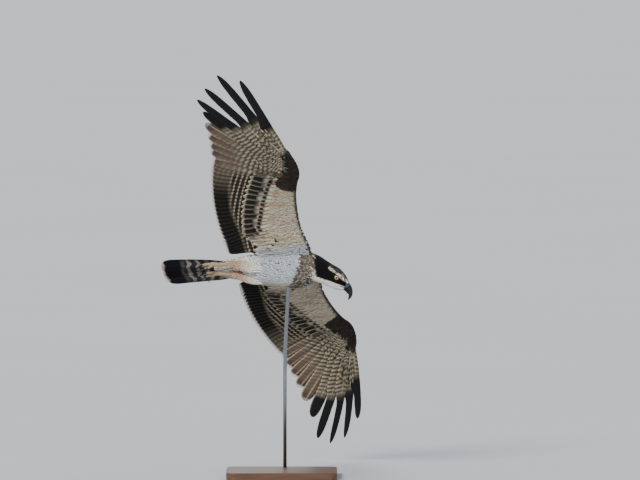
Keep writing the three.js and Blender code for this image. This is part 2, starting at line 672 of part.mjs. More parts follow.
LEGS.forEach((leg) => {
  const parts = legGeometries(leg, [solidOf(grownTorso)]);
  node(bird, `thigh_${leg.side}`, parts.thigh, COLOURS.buff);
  node(bird, `tarsus_${leg.side}`, parts.tarsus, COLOURS.foot, 0.7);
  node(bird, `foot_${leg.side}`, parts.foot, COLOURS.foot, 0.7);
  parts.claws.forEach(({ name, geometry }) => {
    node(bird, `claw_${leg.side}_${name}`, geometry, COLOURS.claw, 0.35);
  });
});

node(osprey, 'stand_base', baseGeometry(), COLOURS.base, 0.5);
node(osprey, 'stand_rod', rodGeometry(bird.matrixWorld, grownTorso), COLOURS.rod, 0.35, 1);

export default osprey;
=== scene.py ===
# An osprey banking in flight, life size, on a plain display stand
import math

import bmesh
import bpy
import numpy as np
from mathutils import Matrix, Vector


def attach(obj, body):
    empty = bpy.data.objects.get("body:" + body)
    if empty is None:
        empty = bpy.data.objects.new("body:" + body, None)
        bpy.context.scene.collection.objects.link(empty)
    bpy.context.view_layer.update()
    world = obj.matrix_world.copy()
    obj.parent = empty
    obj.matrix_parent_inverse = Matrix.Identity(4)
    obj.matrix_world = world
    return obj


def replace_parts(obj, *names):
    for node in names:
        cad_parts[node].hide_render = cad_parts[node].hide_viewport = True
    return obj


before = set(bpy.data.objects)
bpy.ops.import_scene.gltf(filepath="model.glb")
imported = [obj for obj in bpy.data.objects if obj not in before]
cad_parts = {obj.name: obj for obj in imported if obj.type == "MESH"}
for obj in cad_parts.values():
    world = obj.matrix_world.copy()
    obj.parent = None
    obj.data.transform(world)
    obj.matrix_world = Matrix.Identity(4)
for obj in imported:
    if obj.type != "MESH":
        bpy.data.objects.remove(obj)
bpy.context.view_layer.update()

mm = 0.001
bothSides = (("left", 1), ("right", -1))

# Attitude of the bird: degrees, and the middle of its body in metres
attitude = {"heading": -17.3, "pitch": 1.2, "bank": -44.0, "at": (0.022, -0.006, 0.565)}
headAttitude = {"heading": -17.0, "pitch": -34.0, "bank": -6.0, "at": (121.0, 17.0, -17.0)}


# Heading about Z, then pitch about Y, then bank about X, as one turn
def turnOf(pose):
    h, p, b = (math.radians(pose[k]) for k in ("heading", "pitch", "bank"))
    turn = Matrix.Rotation(h, 3, "Z") @ Matrix.Rotation(-p, 3, "Y") @ Matrix.Rotation(b, 3, "X")
    return np.array(turn)


birdTurn = turnOf(attitude)
headTurn = birdTurn.T @ turnOf(headAttitude)       # head axes as seen from the bird
headAt = np.array(headAttitude["at"])


# Bird millimetres to metres of the frame: turned, scaled and moved
def toWorld(points):
    return points @ birdTurn.T * mm + np.array(attitude["at"])


# Head millimetres to bird millimetres
def fromHead(points):
    return points @ headTurn.T + headAt


# Vectors of length 1
def unit(v):
    return v / np.maximum(np.linalg.norm(v, axis=-1, keepdims=True), 1e-9)


# Dot product of each pair of vectors
def dot(a, b):
    return np.sum(a * b, -1, keepdims=True)


# The part of a vector that is square to a course, with length 1
def squareTo(course, v):
    return unit(v - course * dot(v, course))


# Vectors turned over where they point away from others
def facing(v, other):
    return v * np.sign(dot(v, other))


# The way from a to b by a share t
def between(a, b, t):
    return a + (b - a) * t


# Angles of a whole turn in equal steps
def circle(count):
    return np.arange(count) / count * 2 * math.pi


# Two fields, spread to one shape, as the columns of one array
def paired(a, b):
    return np.stack(np.broadcast_arrays(a, b), -1)


# Smooth step from 0 at a to 1 at b
def ramp(x, a, b):
    t = np.clip((x - a) / (b - a), 0, 1)
    return t * t * (3 - 2 * t)


# Smooth step down from 1 at a to 0 at b
def fade(x, a, b):
    return 1 - ramp(x, a, b)


# A bump that is 1 at the middle and falls off by the width
def bump(x, middle, width):
    return np.exp(-((x - middle) / width) ** 2)


# Cubic curve through stations: Hermite pieces whose slopes join each station's neighbours
def through(x, xs, ys):
    xs, ys = np.asarray(xs, float), np.asarray(ys, float)
    slope = np.gradient(ys, xs, axis=0)
    i = np.clip(np.searchsorted(xs, x) - 1, 0, len(xs) - 2)
    h = xs[i + 1] - xs[i]
    t = np.clip((x - xs[i]) / h, 0, 1)
    if ys.ndim > 1:
        t, h = t[..., None], h[..., None]
    a, b = 2 * t**3 - 3 * t**2 + 1, t**3 - 2 * t**2 + t
    c, d = -2 * t**3 + 3 * t**2, t**3 - t**2
    return a * ys[i] + b * h * slope[i] + c * ys[i + 1] + d * h * slope[i + 1]


# Value noise: a lattice of seeded random numbers, read smoothly
lattice = np.random.default_rng(7).random((64, 64))
def noise(u, v):
    iu, iv = np.floor(u).astype(int), np.floor(v).astype(int)
    fu, fv = u - iu, v - iv
    fu, fv = fu * fu * (3 - 2 * fu), fv * fv * (3 - 2 * fv)
    at = lambda a, b: lattice[a % len(lattice), b % len(lattice)]
    low = at(iu, iv) * (1 - fu) + at(iu + 1, iv) * fu
    high = at(iu, iv + 1) * (1 - fu) + at(iu + 1, iv + 1) * fu
    return low * (1 - fv) + high * fv


# Colours: sRGB hex to linear
def linear(hexText):
    c = np.array([int(hexText[i:i + 2], 16) / 255 for i in (0, 2, 4)])
    return np.where(c <= 0.04045, c / 12.92, ((c + 0.055) / 1.055) ** 2.4)


plumage = {name: linear(code) for name, code in {
    "white": "E6E2DA", "cream": "A99D82", "buff": "BFA37F", "shadeBlue": "A0A8B2", "black": "0B0B0E",
    "brown": "372A22", "backBrown": "2C221C", "ink": "0C0E15", "ground": "9A8D76", "barDark": "241D18",
    "paleEdge": "D0C5B0", "tan": "B08C6C", "rust": "9A6B45", "innerBrown": "6E584B", "dusky": "4A3B36",
    "rachis": "D2BEA4", "tailPale": "85807A", "tailTip": "C4AEA2",
}.items()}


# Blend of two colours by a weight per feather or vertex
def blendColour(a, b, weight):
    return a + (b - a) * np.asarray(weight)[..., None]


# A colour covered by named ones in turn, each by its weight
def layered(tint, *layers):
    for name, weight in layers:
        tint = blendColour(tint, plumage[name], weight)
    return tint


print("camera and light")
# The view: a long lens, far off, a little above the bird's own level
viewpoint = {"elevation": 3.0, "distance": 21.6, "lens": 450.0, "aim": (0.1032, -0.006, 0.6427)}
cameraData = bpy.data.cameras.new("viewCamera")
cameraData.lens = viewpoint["lens"]
cameraData.sensor_width = 36.0
cameraData.clip_end = 1000.0
camera = bpy.data.objects.new("viewCamera", cameraData)
bpy.context.scene.collection.objects.link(camera)
tilt = math.radians(viewpoint["elevation"])
away = Vector((0, -math.cos(tilt), math.sin(tilt)))
camera.location = Vector(viewpoint["aim"]) + away * viewpoint["distance"]
camera.rotation_euler = (math.pi / 2 - tilt, 0, 0)
bpy.context.scene.camera = camera

world = bpy.data.worlds.new("studio")
world.use_nodes = True
world.node_tree.nodes["Background"].inputs["Color"].default_value = (0.88, 0.91, 0.95, 1)
world.node_tree.nodes["Background"].inputs["Strength"].default_value = 0.84
bpy.context.scene.world = world


# A far, wide lamp that shines along a direction
def addSun(name, direction, strength, softness, colour):
    data = bpy.data.lights.new(name, "SUN")
    data.energy = strength
    data.angle = math.radians(softness)
    data.color = colour
    lamp = bpy.data.objects.new(name, data)
    lamp.rotation_mode = "QUATERNION"
    lamp.rotation_quaternion = Vector(direction).to_track_quat("-Z", "Y")
    bpy.context.scene.collection.objects.link(lamp)


addSun("keyLight", (0.42, 0.72, -0.52), 4.0, 16, (1.0, 0.96, 0.9))
addSun("fillLight", (-0.6, 0.65, 0.1), 0.55, 50, (0.93, 0.96, 1.0))
addSun("rimLight", (0.2, -0.8, -0.75), 1.2, 30, (1.0, 0.98, 0.95))


# Set or link inputs of a node. Each is named by i and its number, or by its name with _ for a space
def feed(tree, node, **inputs):
    for key, value in inputs.items():
        numbered = key[0] == "i" and key[1:].isdigit()
        socket = node.inputs[int(key[1:]) if numbered else key.replace("_", " ")]
        if isinstance(value, bpy.types.NodeSocket):
            tree.links.new(value, socket)
        else:
            socket.default_value = value
    return node


# One shader node with its settings and inputs
def addNode(tree, kind, settings=None, **inputs):
    node = tree.nodes.new("ShaderNode" + kind)
    for key, value in (settings or {}).items():
        setattr(node, key, value)
    return feed(tree, node, **inputs)


# A new material and its surface shader
def newMaterial(name):
    material = bpy.data.materials.new(name)
    material.use_nodes = True
    return material, material.node_tree, material.node_tree.nodes["Principled BSDF"]


# Result of one maths node on sockets or numbers
def calc(tree, operation, *values):
    inputs = {f"i{index}": value for index, value in enumerate(values)}
    return addNode(tree, "Math", {"operation": operation}, **inputs).outputs[0]


# A pattern from 0 to 1, spread between two values
def spread(tree, pattern, low, high):
    return addNode(tree, "MapRange", None, Value=pattern, To_Min=low, To_Max=high).outputs["Result"]


# The object's own coordinates, from one node for each material
def objectPlace(tree):
    node = tree.nodes.get("Texture Coordinate") or addNode(tree, "TexCoord")
    return node.outputs["Object"]


# Noise over the object's own coordinates, which a stretch scales by axis
def noisePattern(tree, scale, detail, stretch=None):
    place = objectPlace(tree)
    if stretch:
        place = addNode(tree, "Mapping", None, Vector=place, Scale=stretch).outputs[0]
    return addNode(tree, "TexNoise", None, Vector=place, Scale=scale, Detail=detail).outputs["Fac"]


# A colour times a pattern
def scaled(tree, colour, amount):
    return addNode(tree, "VectorMath", {"operation": "SCALE"}, i0=colour, Scale=amount).outputs[0]


# Two hex colours, or two colour sockets, mixed by a pattern
def toned(tree, pattern, dark, pale):
    dark, pale = ((*linear(c), 1) if isinstance(c, str) else c for c in (dark, pale))
    return addNode(tree, "Mix", {"data_type": "RGBA"}, i0=pattern, i6=dark, i7=pale).outputs[2]


# Normals of a surface raised by a pattern, to a strength and a height in metres
def relief(tree, pattern, strength, height):
    bumps = addNode(tree, "Bump", None, Height=pattern, Strength=strength, Distance=height)
    return bumps.outputs["Normal"]


# A material of two hex colours mixed by noise, which also raises the surface
def grainMaterial(name, grain, dark, pale, strength, height, **inputs):
    material, tree, shader = newMaterial(name)
    pattern = noisePattern(tree, *grain)
    feed(tree, shader, Base_Color=toned(tree, pattern, dark, pale),
         Normal=relief(tree, pattern, strength, height), **inputs)
    return material


# Feather keratin: matt, barred along the shaft, combed by its barbs; it gives soft, fibrous light
def featherMaterial(name, barbScale):
    material, tree, shader = newMaterial(name)
    tint, mark, plan = (addNode(tree, "Attribute", {"attribute_name": key})
                        for key in ("tint", "mark", "plan"))
    parts = addNode(tree, "SeparateXYZ", None, Vector=plan.outputs["Vector"])
    vane = addNode(tree, "UVMap", {"uv_map": "Vane"}).outputs["UV"]
    along = addNode(tree, "SeparateXYZ", None, Vector=vane)
    # bars: a wave along the shaft, slanted towards the edges, its edge ragged by noise
    lean = calc(tree, "ABSOLUTE", calc(tree, "SUBTRACT", along.outputs["X"], 0.5))
    shifted = calc(tree, "MULTIPLY_ADD", lean, -0.55, along.outputs["Y"])
    ragged = calc(tree, "MULTIPLY_ADD", noisePattern(tree, 90.0, 2.0), 0.36, shifted)
    wave = calc(tree, "SINE", calc(tree, "MULTIPLY", ragged, 2 * math.pi))
    band = addNode(tree, "MapRange", {"interpolation_type": "SMOOTHSTEP"},
                   Value=calc(tree, "ADD", wave, parts.outputs["Y"]), From_Min=-0.25, From_Max=0.35)
    amount = calc(tree, "MULTIPLY", band.outputs["Result"], parts.outputs["X"])
    barred = toned(tree, amount, tint.outputs["Color"], mark.outputs["Color"])
    # barbs: fine slanted lines that darken and roughen each vane
    barb = addNode(tree, "TexWave", {"wave_type": "BANDS", "bands_direction": "DIAGONAL"},
                   Vector=vane, Scale=barbScale, Distortion=1.5, Detail=1.0).outputs["Fac"]
    shade = spread(tree, barb, 0.86, 1.06)
    mottle = spread(tree, noisePattern(tree, 420.0, 3.0), 0.8, 1.2)
    colour = scaled(tree, barred, calc(tree, "MULTIPLY", shade, mottle))
    feed(tree, shader, Base_Color=colour, Normal=relief(tree, barb, 0.25, 0.0004), Roughness=0.7,
         Specular_IOR_Level=0.1)
    return material


flightMaterial = featherMaterial("flightFeatherKeratin", 34.0)
coatMaterial = featherMaterial("contourFeatherKeratin", 5.0)

# Body sections from the bill back: head stations in head mm, then torso and tail root in bird mm
headStations = [(44.5, 9.2, 14.4, 10.5), (38.5, 12, 18, 15), (30, 16.6, 22.8, 20), (18, 21.3, 27.5, 24.5),
                (6, 24, 30, 26.5), (-8, 26, 30, 28.5), (-24, 28, 28, 34), (-38, 31, 27, 38)]
torsoStations = [(52, 47, 45, 46), (18, 52, 46, 52), (-20, 51, 43, 51), (-60, 48, 38, 45), (-96, 46, 31, 37),
                 (-128, 43, 22, 25), (-152, 38, 12, 15.5), (-170, 36, 9, 13), (-190, 32, 6, 10.5),
                 (-212, 25, 3.2, 8)]
# How far the skin lies under the outer forms, in mm, and the size of its voxels in metres
skinPlan = {"depth": 2.6, "wing": 1.6, "thigh": 2.0, "voxel": 0.0022}


# The body as one tube: each station's middle, side axis, up axis and half sizes, by distance from the bill
def bodyTable():
    rows = []
    for stations, turn, place in ((headStations, headTurn, headAt), (torsoStations, np.eye(3), np.zeros(3))):
        for x, *size in stations:
            middle = np.array([x, 0.0, 0.0]) @ turn.T + place
            rows.append(np.concatenate([middle, turn[:, 1], turn[:, 2], size]))
    middles, sides, ups, sizes = np.split(np.array(rows), [3, 6, 9], 1)
    distance = np.concatenate([[0], np.cumsum(np.linalg.norm(np.diff(middles, axis=0), axis=1))])
    return distance, middles, sides, ups, sizes


bodyAt, bodyMiddles, bodySides, bodyUps, bodySizes = bodyTable()
bodyEnd = bodyAt[-1]
neckAt = bodyAt[len(headStations) - 1]


# A point of the body: an egg section whose upper and lower halves have their own depth
def bodySurface(a, phi, inset=0.0):
    middle = through(a, bodyAt, bodyMiddles)
    side = unit(through(a, bodyAt, bodySides))
    up = unit(through(a, bodyAt, bodyUps))
    size = through(a, bodyAt, bodySizes) - np.asarray(inset)[..., None]
    c, s = np.cos(phi), np.sin(phi)
    high = np.where(s > 0, size[..., 1], size[..., 2])
    return middle + side * (size[..., 0] * c)[..., None] + up * (high * s)[..., None]


# Wing stations, left wing, bird mm: span, front edge, height, thickness
wingStations = np.array([
    (18, 66, 12, 24), (56, 69, 21, 22), (90, 63, 28, 20), (130, 57, 35, 18), (180, 58, 43, 16),
    (232, 64, 52, 14), (275, 75, 59, 13), (304, 87, 65, 12), (340, 92, 65, 10), (388, 86, 63, 6)], float)
primaryTips = np.array([
    (-124, 413, 34), (-120, 450, 33), (-112, 484, 28), (-105, 525, 23), (-98, 573, 16), (-88, 630, 5),
    (-85, 698, -14), (-58, 731, -5), (-27, 746, 28), (18, 695, 55)], float)
primaryVanes = np.array([(17, 25, 0), (17, 25, 0), (16, 25, 0), (16, 24, 0), (15, 24, 0), (14, 24, 0.2),
                         (13, 25, 0.5), (12, 25, 0.6), (12, 25, 0.6), (10, 24, 0.5)])
wingPlan = {
    "primaryRoots": ((56, 306, 60), (78, 386, 63)), "secondaryRoots": ((-30, 166, 34), (48, 296, 57)),
    "tertialRoots": ((-28, 78, 18), (-34, 150, 30)), "tertials": 5, "secondaries": 19, "innerTips": (76, 108),
    "outerTips": (118, 391), "innerVane": (15, 21, 0), "innerSag": 5.0, "primarySag": (2, -14), "tilt": 0.105,
    "secondaryBar": 13.0, "primaryBar": 15.0}


# Flight feathers from the innermost tertial out: roots, tips, half widths with narrowing, and sag. The
# trailing edge runs along a parabola and rises evenly with the span
def flightRow():
    roots = []
    counts = (wingPlan["tertials"], wingPlan["secondaries"], len(primaryTips))
    for key, count in zip(("tertialRoots", "secondaryRoots", "primaryRoots"), counts):
        first, last = (np.array(p, float) for p in wingPlan[key])
        roots.append(between(first, last, np.linspace(0, 1, count)[:, None]))
    y = np.concatenate([np.linspace(*wingPlan[key], n) for key, n in zip(("innerTips", "outerTips"), counts)])
    innerTips = np.stack([-170 + 37 * ((y - 165) / 226) ** 2, y, 5 + 0.091 * (y - 77)], -1)
    inner = np.tile(wingPlan["innerVane"], (len(y), 1)).astype(float)
    outerSag = np.linspace(*wingPlan["primarySag"], counts[2])
    sag = np.concatenate([np.full(len(y), wingPlan["innerSag"]), outerSag])
    vanes = np.concatenate([inner, primaryVanes])
    return np.concatenate(roots), np.concatenate([innerTips, primaryTips]), vanes, sag


rowRoots, rowTips, rowVanes, rowSag = flightRow()
rowCount = len(rowRoots)
firstPrimary = rowCount - len(primaryTips)


# Side and normal of each feather at one end, square to its shaft, from its neighbours
def rowFrames(ends, course):
    side = unit(np.concatenate([ends[1:2] - ends[:1], ends[2:] - ends[:-2], ends[-1:] - ends[-2:-1]]))
    side = squareTo(course, side)
    normal = np.cross(side, course)
    return side, normal * np.sign(normal[:, 2:3])


# Indices of one thin closed vane: a grid above and one below that share their rim
def vaneFaces(stations, columns):
    top = np.arange(stations * columns).reshape(stations, columns)
    under = top.copy()
    inner = (stations - 2) * (columns - 2)
    under[1:-1, 1:-1] = stations * columns + np.arange(inner).reshape(stations - 2, columns - 2)
    quads = []
    for grid, flip in ((top, False), (under, True)):
        q = np.stack([grid[:-1, :-1], grid[1:, :-1], grid[1:, 1:], grid[:-1, 1:]], -1).reshape(-1, 4)
        quads.append(q[:, ::-1] if flip else q)
    return np.concatenate(quads)


# Values of a vane's grid for its first face, its rim and its second face, in vertex order
def spreadFaces(first, second, rim):
    n, stations, columns = first.shape[:3]
    top = np.array(np.broadcast_to(rim, first.shape))
    top[:, 1:-1, 1:-1] = first[:, 1:-1, 1:-1]
    return np.concatenate([top.reshape(n, stations * columns, -1),
                           second[:, 1:-1, 1:-1].reshape(n, (stations - 2) * (columns - 2), -1)], 1)


# Store values at a mesh's points, with one more column of a constant
def addAttribute(mesh, name, kind, field, values, last):
    padded = np.concatenate([values, np.full((len(values), 1), float(last))], 1)
    mesh.attributes.new(name, kind, "POINT").data.foreach_set(field, padded.astype(np.float32).ravel())


# An object of a mesh and a material, smooth or flat
def addObject(name, mesh, material, smooth=True):
    mesh.polygons.foreach_set("use_smooth", np.full(len(mesh.polygons), smooth))
    mesh.materials.append(material)
    mesh.update()
    obj = bpy.data.objects.new(name, mesh)
    bpy.context.scene.collection.objects.link(obj)
    return obj


# Many vanes in one mesh. The faces are (n, stations, columns, 3) in bird mm. Each look holds a tint, a mark
# and a plan, which is how much of the mark shows as bars and how broad they are
def addVanes(name, faceA, faceB, lookA, lookB, rimLook, vaneUv, bakeUv, material):
    n, stations, columns, _ = faceA.shape
    points = spreadFaces(faceA, faceB, faceA)
    template = vaneFaces(stations, columns)
    faces = (template[None] + (np.arange(n) * points.shape[1])[:, None, None]).reshape(-1, 4)
    mesh = bpy.data.meshes.new(name)
    vertices = toWorld(points.reshape(-1, 3))
    mesh.vertices.add(len(vertices))
    mesh.vertices.foreach_set("co", vertices.astype(np.float32).ravel())
    mesh.loops.add(faces.size)
    mesh.loops.foreach_set("vertex_index", faces.astype(np.int32).ravel())
    mesh.polygons.add(len(faces))
    mesh.polygons.foreach_set("loop_start", np.arange(0, faces.size, 4, dtype=np.int32))
    mesh.update(calc_edges=True)

    def spreadOut(width, *fields):
        whole = (np.broadcast_to(field, (n, stations, columns, width)) for field in fields)
        return spreadFaces(*whole).reshape(-1, width)

    colour, vector = ("FLOAT_COLOR", "color", 3, 1), ("FLOAT_VECTOR", "vector", 2, 0)
    for key, (kind, field, width, last), *looks in zip(
            ("tint", "mark", "plan"), (colour, colour, vector), lookA, lookB, rimLook):
        addAttribute(mesh, key, kind, field, spreadOut(width, *looks), last)
    for key, field in (("OFBake", bakeUv), ("Vane", vaneUv)):
        corners = spreadOut(2, field, field, field)[faces.ravel()]
        mesh.uv_layers.new(name=key).data.foreach_set("uv", corners.astype(np.float32).ravel())
    obj = addObject(name, mesh, material)
    print(f"  {name}: {n} vanes, {2 * len(faces)} triangles")
    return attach(obj, "root")


# Mirror a set of vanes to the right side; its two faces change places so that they still face out
def mirrorSide(faceA, faceB, side):
    if side > 0:
        return faceA, faceB
    flip = np.array([1.0, -1.0, 1.0])
    return faceB * flip, faceA * flip


# Grid and form of the long vanes: stations crowd towards the tip and columns towards the shaft by a power
vaneShape = {"stations": 30, "columns": 11, "tipward": 1.75, "shaftward": 1.15, "thick": 0.5, "shaft": 1.5,
             "camber": 0.055}
outlineAt = [0, 0.06, 0.24, 0.52, 0.8, 0.88, 0.92, 0.95, 0.975, 0.99, 1.0]
outlineShare = [0.1, 0.45, 0.92, 1.0, 1.0, 0.97, 0.88, 0.75, 0.56, 0.38, 0.1]
fingerShare = [0.1, 0.45, 0.92, 1.0, 0.95, 0.87, 0.76, 0.62, 0.45, 0.3, 0.08]


# Long stiff vanes along bent shafts, the leading vane raised over the next feather's inner one. The grids
# come with the way out along the shaft and the place across it, both ready to spread over all feathers
def shapeFlight(roots, tips, vanes, sag, sides, normals, tilt, seed):
    n, count, columns = len(roots), vaneShape["stations"], vaneShape["columns"]
    draw = np.random.default_rng(seed)
    s = 1 - (1 - np.linspace(0, 1, count)) ** vaneShape["tipward"]
    even = np.linspace(-1, 1, columns)
    across = np.sign(even) * np.abs(even) ** vaneShape["shaftward"]
    s3 = s[None, :, None]
    course = unit(tips - roots)[:, None]
    normal, side = (unit(a[:, None] * (1 - s3) + b[:, None] * s3) for a, b in (normals, sides))
    side = squareTo(course, side)
    raised = side * math.cos(tilt) + normal * math.sin(tilt)
    face = facing(np.cross(raised, course), normal)
    middle = between(roots[:, None], tips[:, None], s3)
    middle = middle + normal * (sag[:, None] * 4 * s * (1 - s))[..., None]
    finger = vanes[:, 2:3]
    full, slim = (np.interp(s, outlineAt, shape) for shape in (outlineShare, fingerShare))
    share = between(full, slim, np.clip(finger * 2, 0, 1))
    narrow = 1 - finger * ramp(s, 0.4, 0.6)[None]
    ragged = 1 + 0.035 * (draw.random((n, count)) - 0.5)
    lead = vanes[:, 0:1] * share * (1 - finger * 0.25 * s) * ragged
    trail = vanes[:, 1:2] * share * narrow * (1 + 0.05 * (draw.random((n, count)) - 0.5))
    half = np.where(across > 0, lead[..., None], trail[..., None])
    width = half * across
    droop = -vaneShape["camber"] * np.abs(across) ** 2 * half
    shaft = vaneShape["shaft"] * (1 - 0.8 * s3) * np.exp(-(across / 0.1) ** 2)
    depth = (vaneShape["thick"] * (1 - across**2) + shaft) / 2
    sheet = middle[:, :, None] + raised[:, :, None] * width[..., None] + face[:, :, None] * droop[..., None]
    lift = face[:, :, None] * depth[..., None]
    return sheet + lift, sheet - lift, s3, across[None, None]


# Bar spacing along each shaft in mm becomes the Vane map's second coordinate
def flightUv(roots, tips, s3, t3, barLength):
    length = np.linalg.norm(tips - roots, axis=-1)[:, None, None]
    return paired(t3 * 0.5 + 0.5, s3 * length / barLength)


# Each long feather has its own strip of the bake map
def stripUv(n, s3, t3):
    return paired((np.arange(n)[:, None, None] + 0.5 + 0.42 * t3) / n, 0.02 + 0.96 * s3)


print("flight feathers")


# Markings of flight feathers, by their index from the innermost tertial, the way out s and the place across
def flightMarks(index, s3, t3, underSide):
    i = index[:, None, None].astype(float)
    primary = i - firstPrimary                          # 0 for P1 to 9 for P10
    isPrimary = ramp(primary, -2.5, 0.5)
    # where the dark tip begins: far out on the inner primaries, at the notch on the fingers
    darkFrom = np.interp(primary, [3, 4, 5, 6, 7, 8, 9], [0.97, 0.9, 0.68, 0.52, 0.46, 0.41, 0.33])
    darkTip = ramp(s3, darkFrom, darkFrom + 0.08) * ramp(primary, 3.8, 5.0)
    bandFrom = 0.58 + 0.1 * ramp(i, 2, 14)              # the secondaries' blackish band
    darkHalf = (1 - isPrimary) * ramp(s3, bandFrom, bandFrom + 0.07) * (1 - 0.4 * ramp(i, 16, 23))
    edge = ramp(s3 + 0.014 * np.abs(t3), 0.958, 0.972) * fade(primary, 3.4, 4.4)
    brownish = isPrimary * ramp(s3, 0.45, 0.75) * fade(primary, 4.0, 5.5)
    rachis = bump(t3, 0.0, 0.08) * (1 - darkTip) * (1 - 0.95 * darkHalf)
    # painted shade: darker edges on the secondaries' vanes where neighbouring feathers overlap
    seam = (1 - isPrimary) * (1 - darkHalf) * ramp(np.abs(t3), 0.55, 0.95)
    tint = layered(
        plumage["ground"], ("paleEdge", 0.4 * ramp(-t3, 0.1, 0.9)), ("innerBrown", 0.9 * brownish),
        ("dusky", 0.7 * (brownish * ramp(s3, 0.82, 0.93))), ("black", np.clip(darkHalf * 0.97, 0, 1)),
        ("ink", darkTip * 0.97), ("rachis", 0.8 * rachis),
        ("paleEdge", 0.75 * (ramp(np.abs(t3), 0.84, 0.98) * brownish)), ("white", 0.95 * edge),
        ("barDark", 0.6 * seam))
    mark = blendColour(plumage["barDark"], plumage["ground"], 0.25 * isPrimary)
    barring = (1 - darkTip) * (1 - darkHalf) * (1 - edge) * (1 - 0.62 * brownish) * (1 - 0.5 * rachis)
    plan = paired(np.clip(barring * 0.95, 0, 1), 0.55 * (1 - isPrimary) + 0.1 * isPrimary)
    if underSide:
        return tint, mark, plan
    return layered(tint, ("backBrown", 0.97 - 0.35 * edge)), plumage["ink"], plan * np.array([0.2, 1.0])


# Both wings' primaries and secondaries, in one piece for each kind and side
def makeFlight():
    row = (rowRoots, rowTips, rowVanes, rowSag)
    course = unit(rowTips - rowRoots)
    frames = list(zip(rowFrames(rowRoots, course), rowFrames(rowTips, course)))
    kinds = (("secondaries", np.arange(firstPrimary), wingPlan["secondaryBar"]),
             ("primaries", np.arange(firstPrimary, rowCount), wingPlan["primaryBar"]))
    for label, side in bothSides:
        for kind, chosen, barLength in kinds:
            roots, tips, vanes, sag = (x[chosen] for x in row)
            sides, normals = ([end[chosen] for end in pair] for pair in frames)
            upper, lower, s3, t3 = shapeFlight(roots, tips, vanes, sag, sides, normals, wingPlan["tilt"],
                                               3 + len(kind))
            under, over = (flightMarks(chosen, s3, t3, below) for below in (True, False))
            upper, lower = mirrorSide(upper, lower, side)
            looks = (over, under) if side > 0 else (under, over)
            uv, strips = flightUv(roots, tips, s3, t3, barLength), stripUv(len(chosen), s3, t3)
            piece = addVanes(f"{kind}_{label}", upper, lower, *looks, under, uv, strips, flightMaterial)


makeFlight()

print("tail")
tailPlan = {"pairs": 6, "root": -158.0, "tip": -361.0, "fan": 36.0, "inner": 6.4, "rootFan": 24.0,
            "half": 16.0, "middle": 11.0, "z": -2.0, "drop": -6.0, "sag": 3.0, "tilt": 0.11, "bar": 26.0,
            "rootStack": 0.5, "tipStack": 0.9, "notch": 9}


# Six feathers each side of the middle, each outer one lying under its inner neighbour
def makeTail():
    pairs = tailPlan["pairs"]
    order = np.arange(pairs)
    t = np.linspace(0, 1, pairs)
    roots, tips, vanes, sides = [], [], [], []
    for side in (1, -1):
        rootY, tipY = (side * between(tailPlan["inner"], tailPlan[key], t) for key in ("rootFan", "fan"))
        rootZ = tailPlan["z"] - tailPlan["rootStack"] * order
        tipZ = tailPlan["z"] + tailPlan["drop"] - tailPlan["tipStack"] * order
        roots.append(np.stack([np.full(pairs, tailPlan["root"]), rootY, rootZ], -1))
        tips.append(np.stack([tailPlan["tip"] + tailPlan["notch"] * t * t, tipY, tipZ], -1))
        inner = np.full(pairs, tailPlan["half"])
        inner[0] = tailPlan["middle"]
        vanes.append(np.stack([np.full(pairs, tailPlan["half"]), inner, np.zeros(pairs)], -1))
        sides.append(np.tile((0.0, side, 0.0), (pairs, 1)))
    roots, tips, vanes, sides = (np.concatenate(x) for x in (roots, tips, vanes, sides))
    count = 2 * pairs
    up = np.tile((0.0, 0.0, 1.0), (count, 1))
    upper, lower, s3, t3 = shapeFlight(roots, tips, vanes, np.full(count, tailPlan["sag"]), (sides, sides),
                                       (up, up), tailPlan["tilt"], 12)
    right = (sides[:, 1] < 0)[:, None, None, None]      # the right half's grid runs the other way round
    upper, lower = np.where(right, lower, upper), np.where(right, upper, lower)
    i = np.arange(count)[:, None, None]
    tatter = noise(i * 3.1 + 0 * s3, t3 * 4.0 + 7)
    tip = ramp(s3 - 0.01 * t3 - 0.02 * (tatter - 0.5), 0.968, 0.982)
    band = ramp(s3, 0.68, 0.74)
    cloudy = noise(s3 * 9.0 + i * 1.7, t3 * 1.5 + 3)
    tint = layered(plumage["tailPale"], ("ink", np.maximum(band, 0.65 * ramp(cloudy, 0.4, 0.85))),
                   ("ink", 0.55 * ramp(t3, 0.1, 0.7)), ("tailTip", 0.9 * tip))
    plan = paired(0.9 * ((1 - band) * (1 - tip)), 0.3)
    under = (tint, plumage["ink"], plan)
    above = (layered(tint, ("backBrown", 0.8 * (1 - tip))), plumage["ink"], plan)
    looks = [tuple(np.where(right, b, a) for a, b in zip(x, y)) for x, y in ((above, under), (under, above))]
    uv, strips = flightUv(roots, tips, s3, t3, tailPlan["bar"]), stripUv(count, s3, t3)
    piece = addVanes("tail_feathers", upper, lower, *looks, under, uv, strips, flightMaterial)


makeTail()

# The wing's covert sheet: span place q picks a flight feather, c runs from the leading edge to the end of the
# coverts. The steps carry roots and tips inward of the first feather, for each place along the row
coverts = {"inner": -3.4, "underDepth": 0.48, "overDepth": 0.52, "rootStep": (3.0, 12.0, 3.4),
           "tipStep": (-3.0, 12.0, 3.4), "armpit": (-3.2, 3.5, 0.34), "armStep": 1.6, "rootLift": 0.15,
           "roll": 0.11, "arch": 0.04}


# A value of the flight feathers, read at any place along their row
def alongRow(q, values):
    return through(np.clip(q, 0, rowCount - 1), np.arange(rowCount), values)


# One column of the wing's stations, read at any span
def wingAt(y, column):
    return through(y, wingStations[:, 0], wingStations[:, column])


# How far over the flight feathers the greater coverts reach, by place along the row
def covertReach(q):
    return np.interp(q, [0, 13, 23, 33], [0.54, 0.50, 0.43, 0.38])


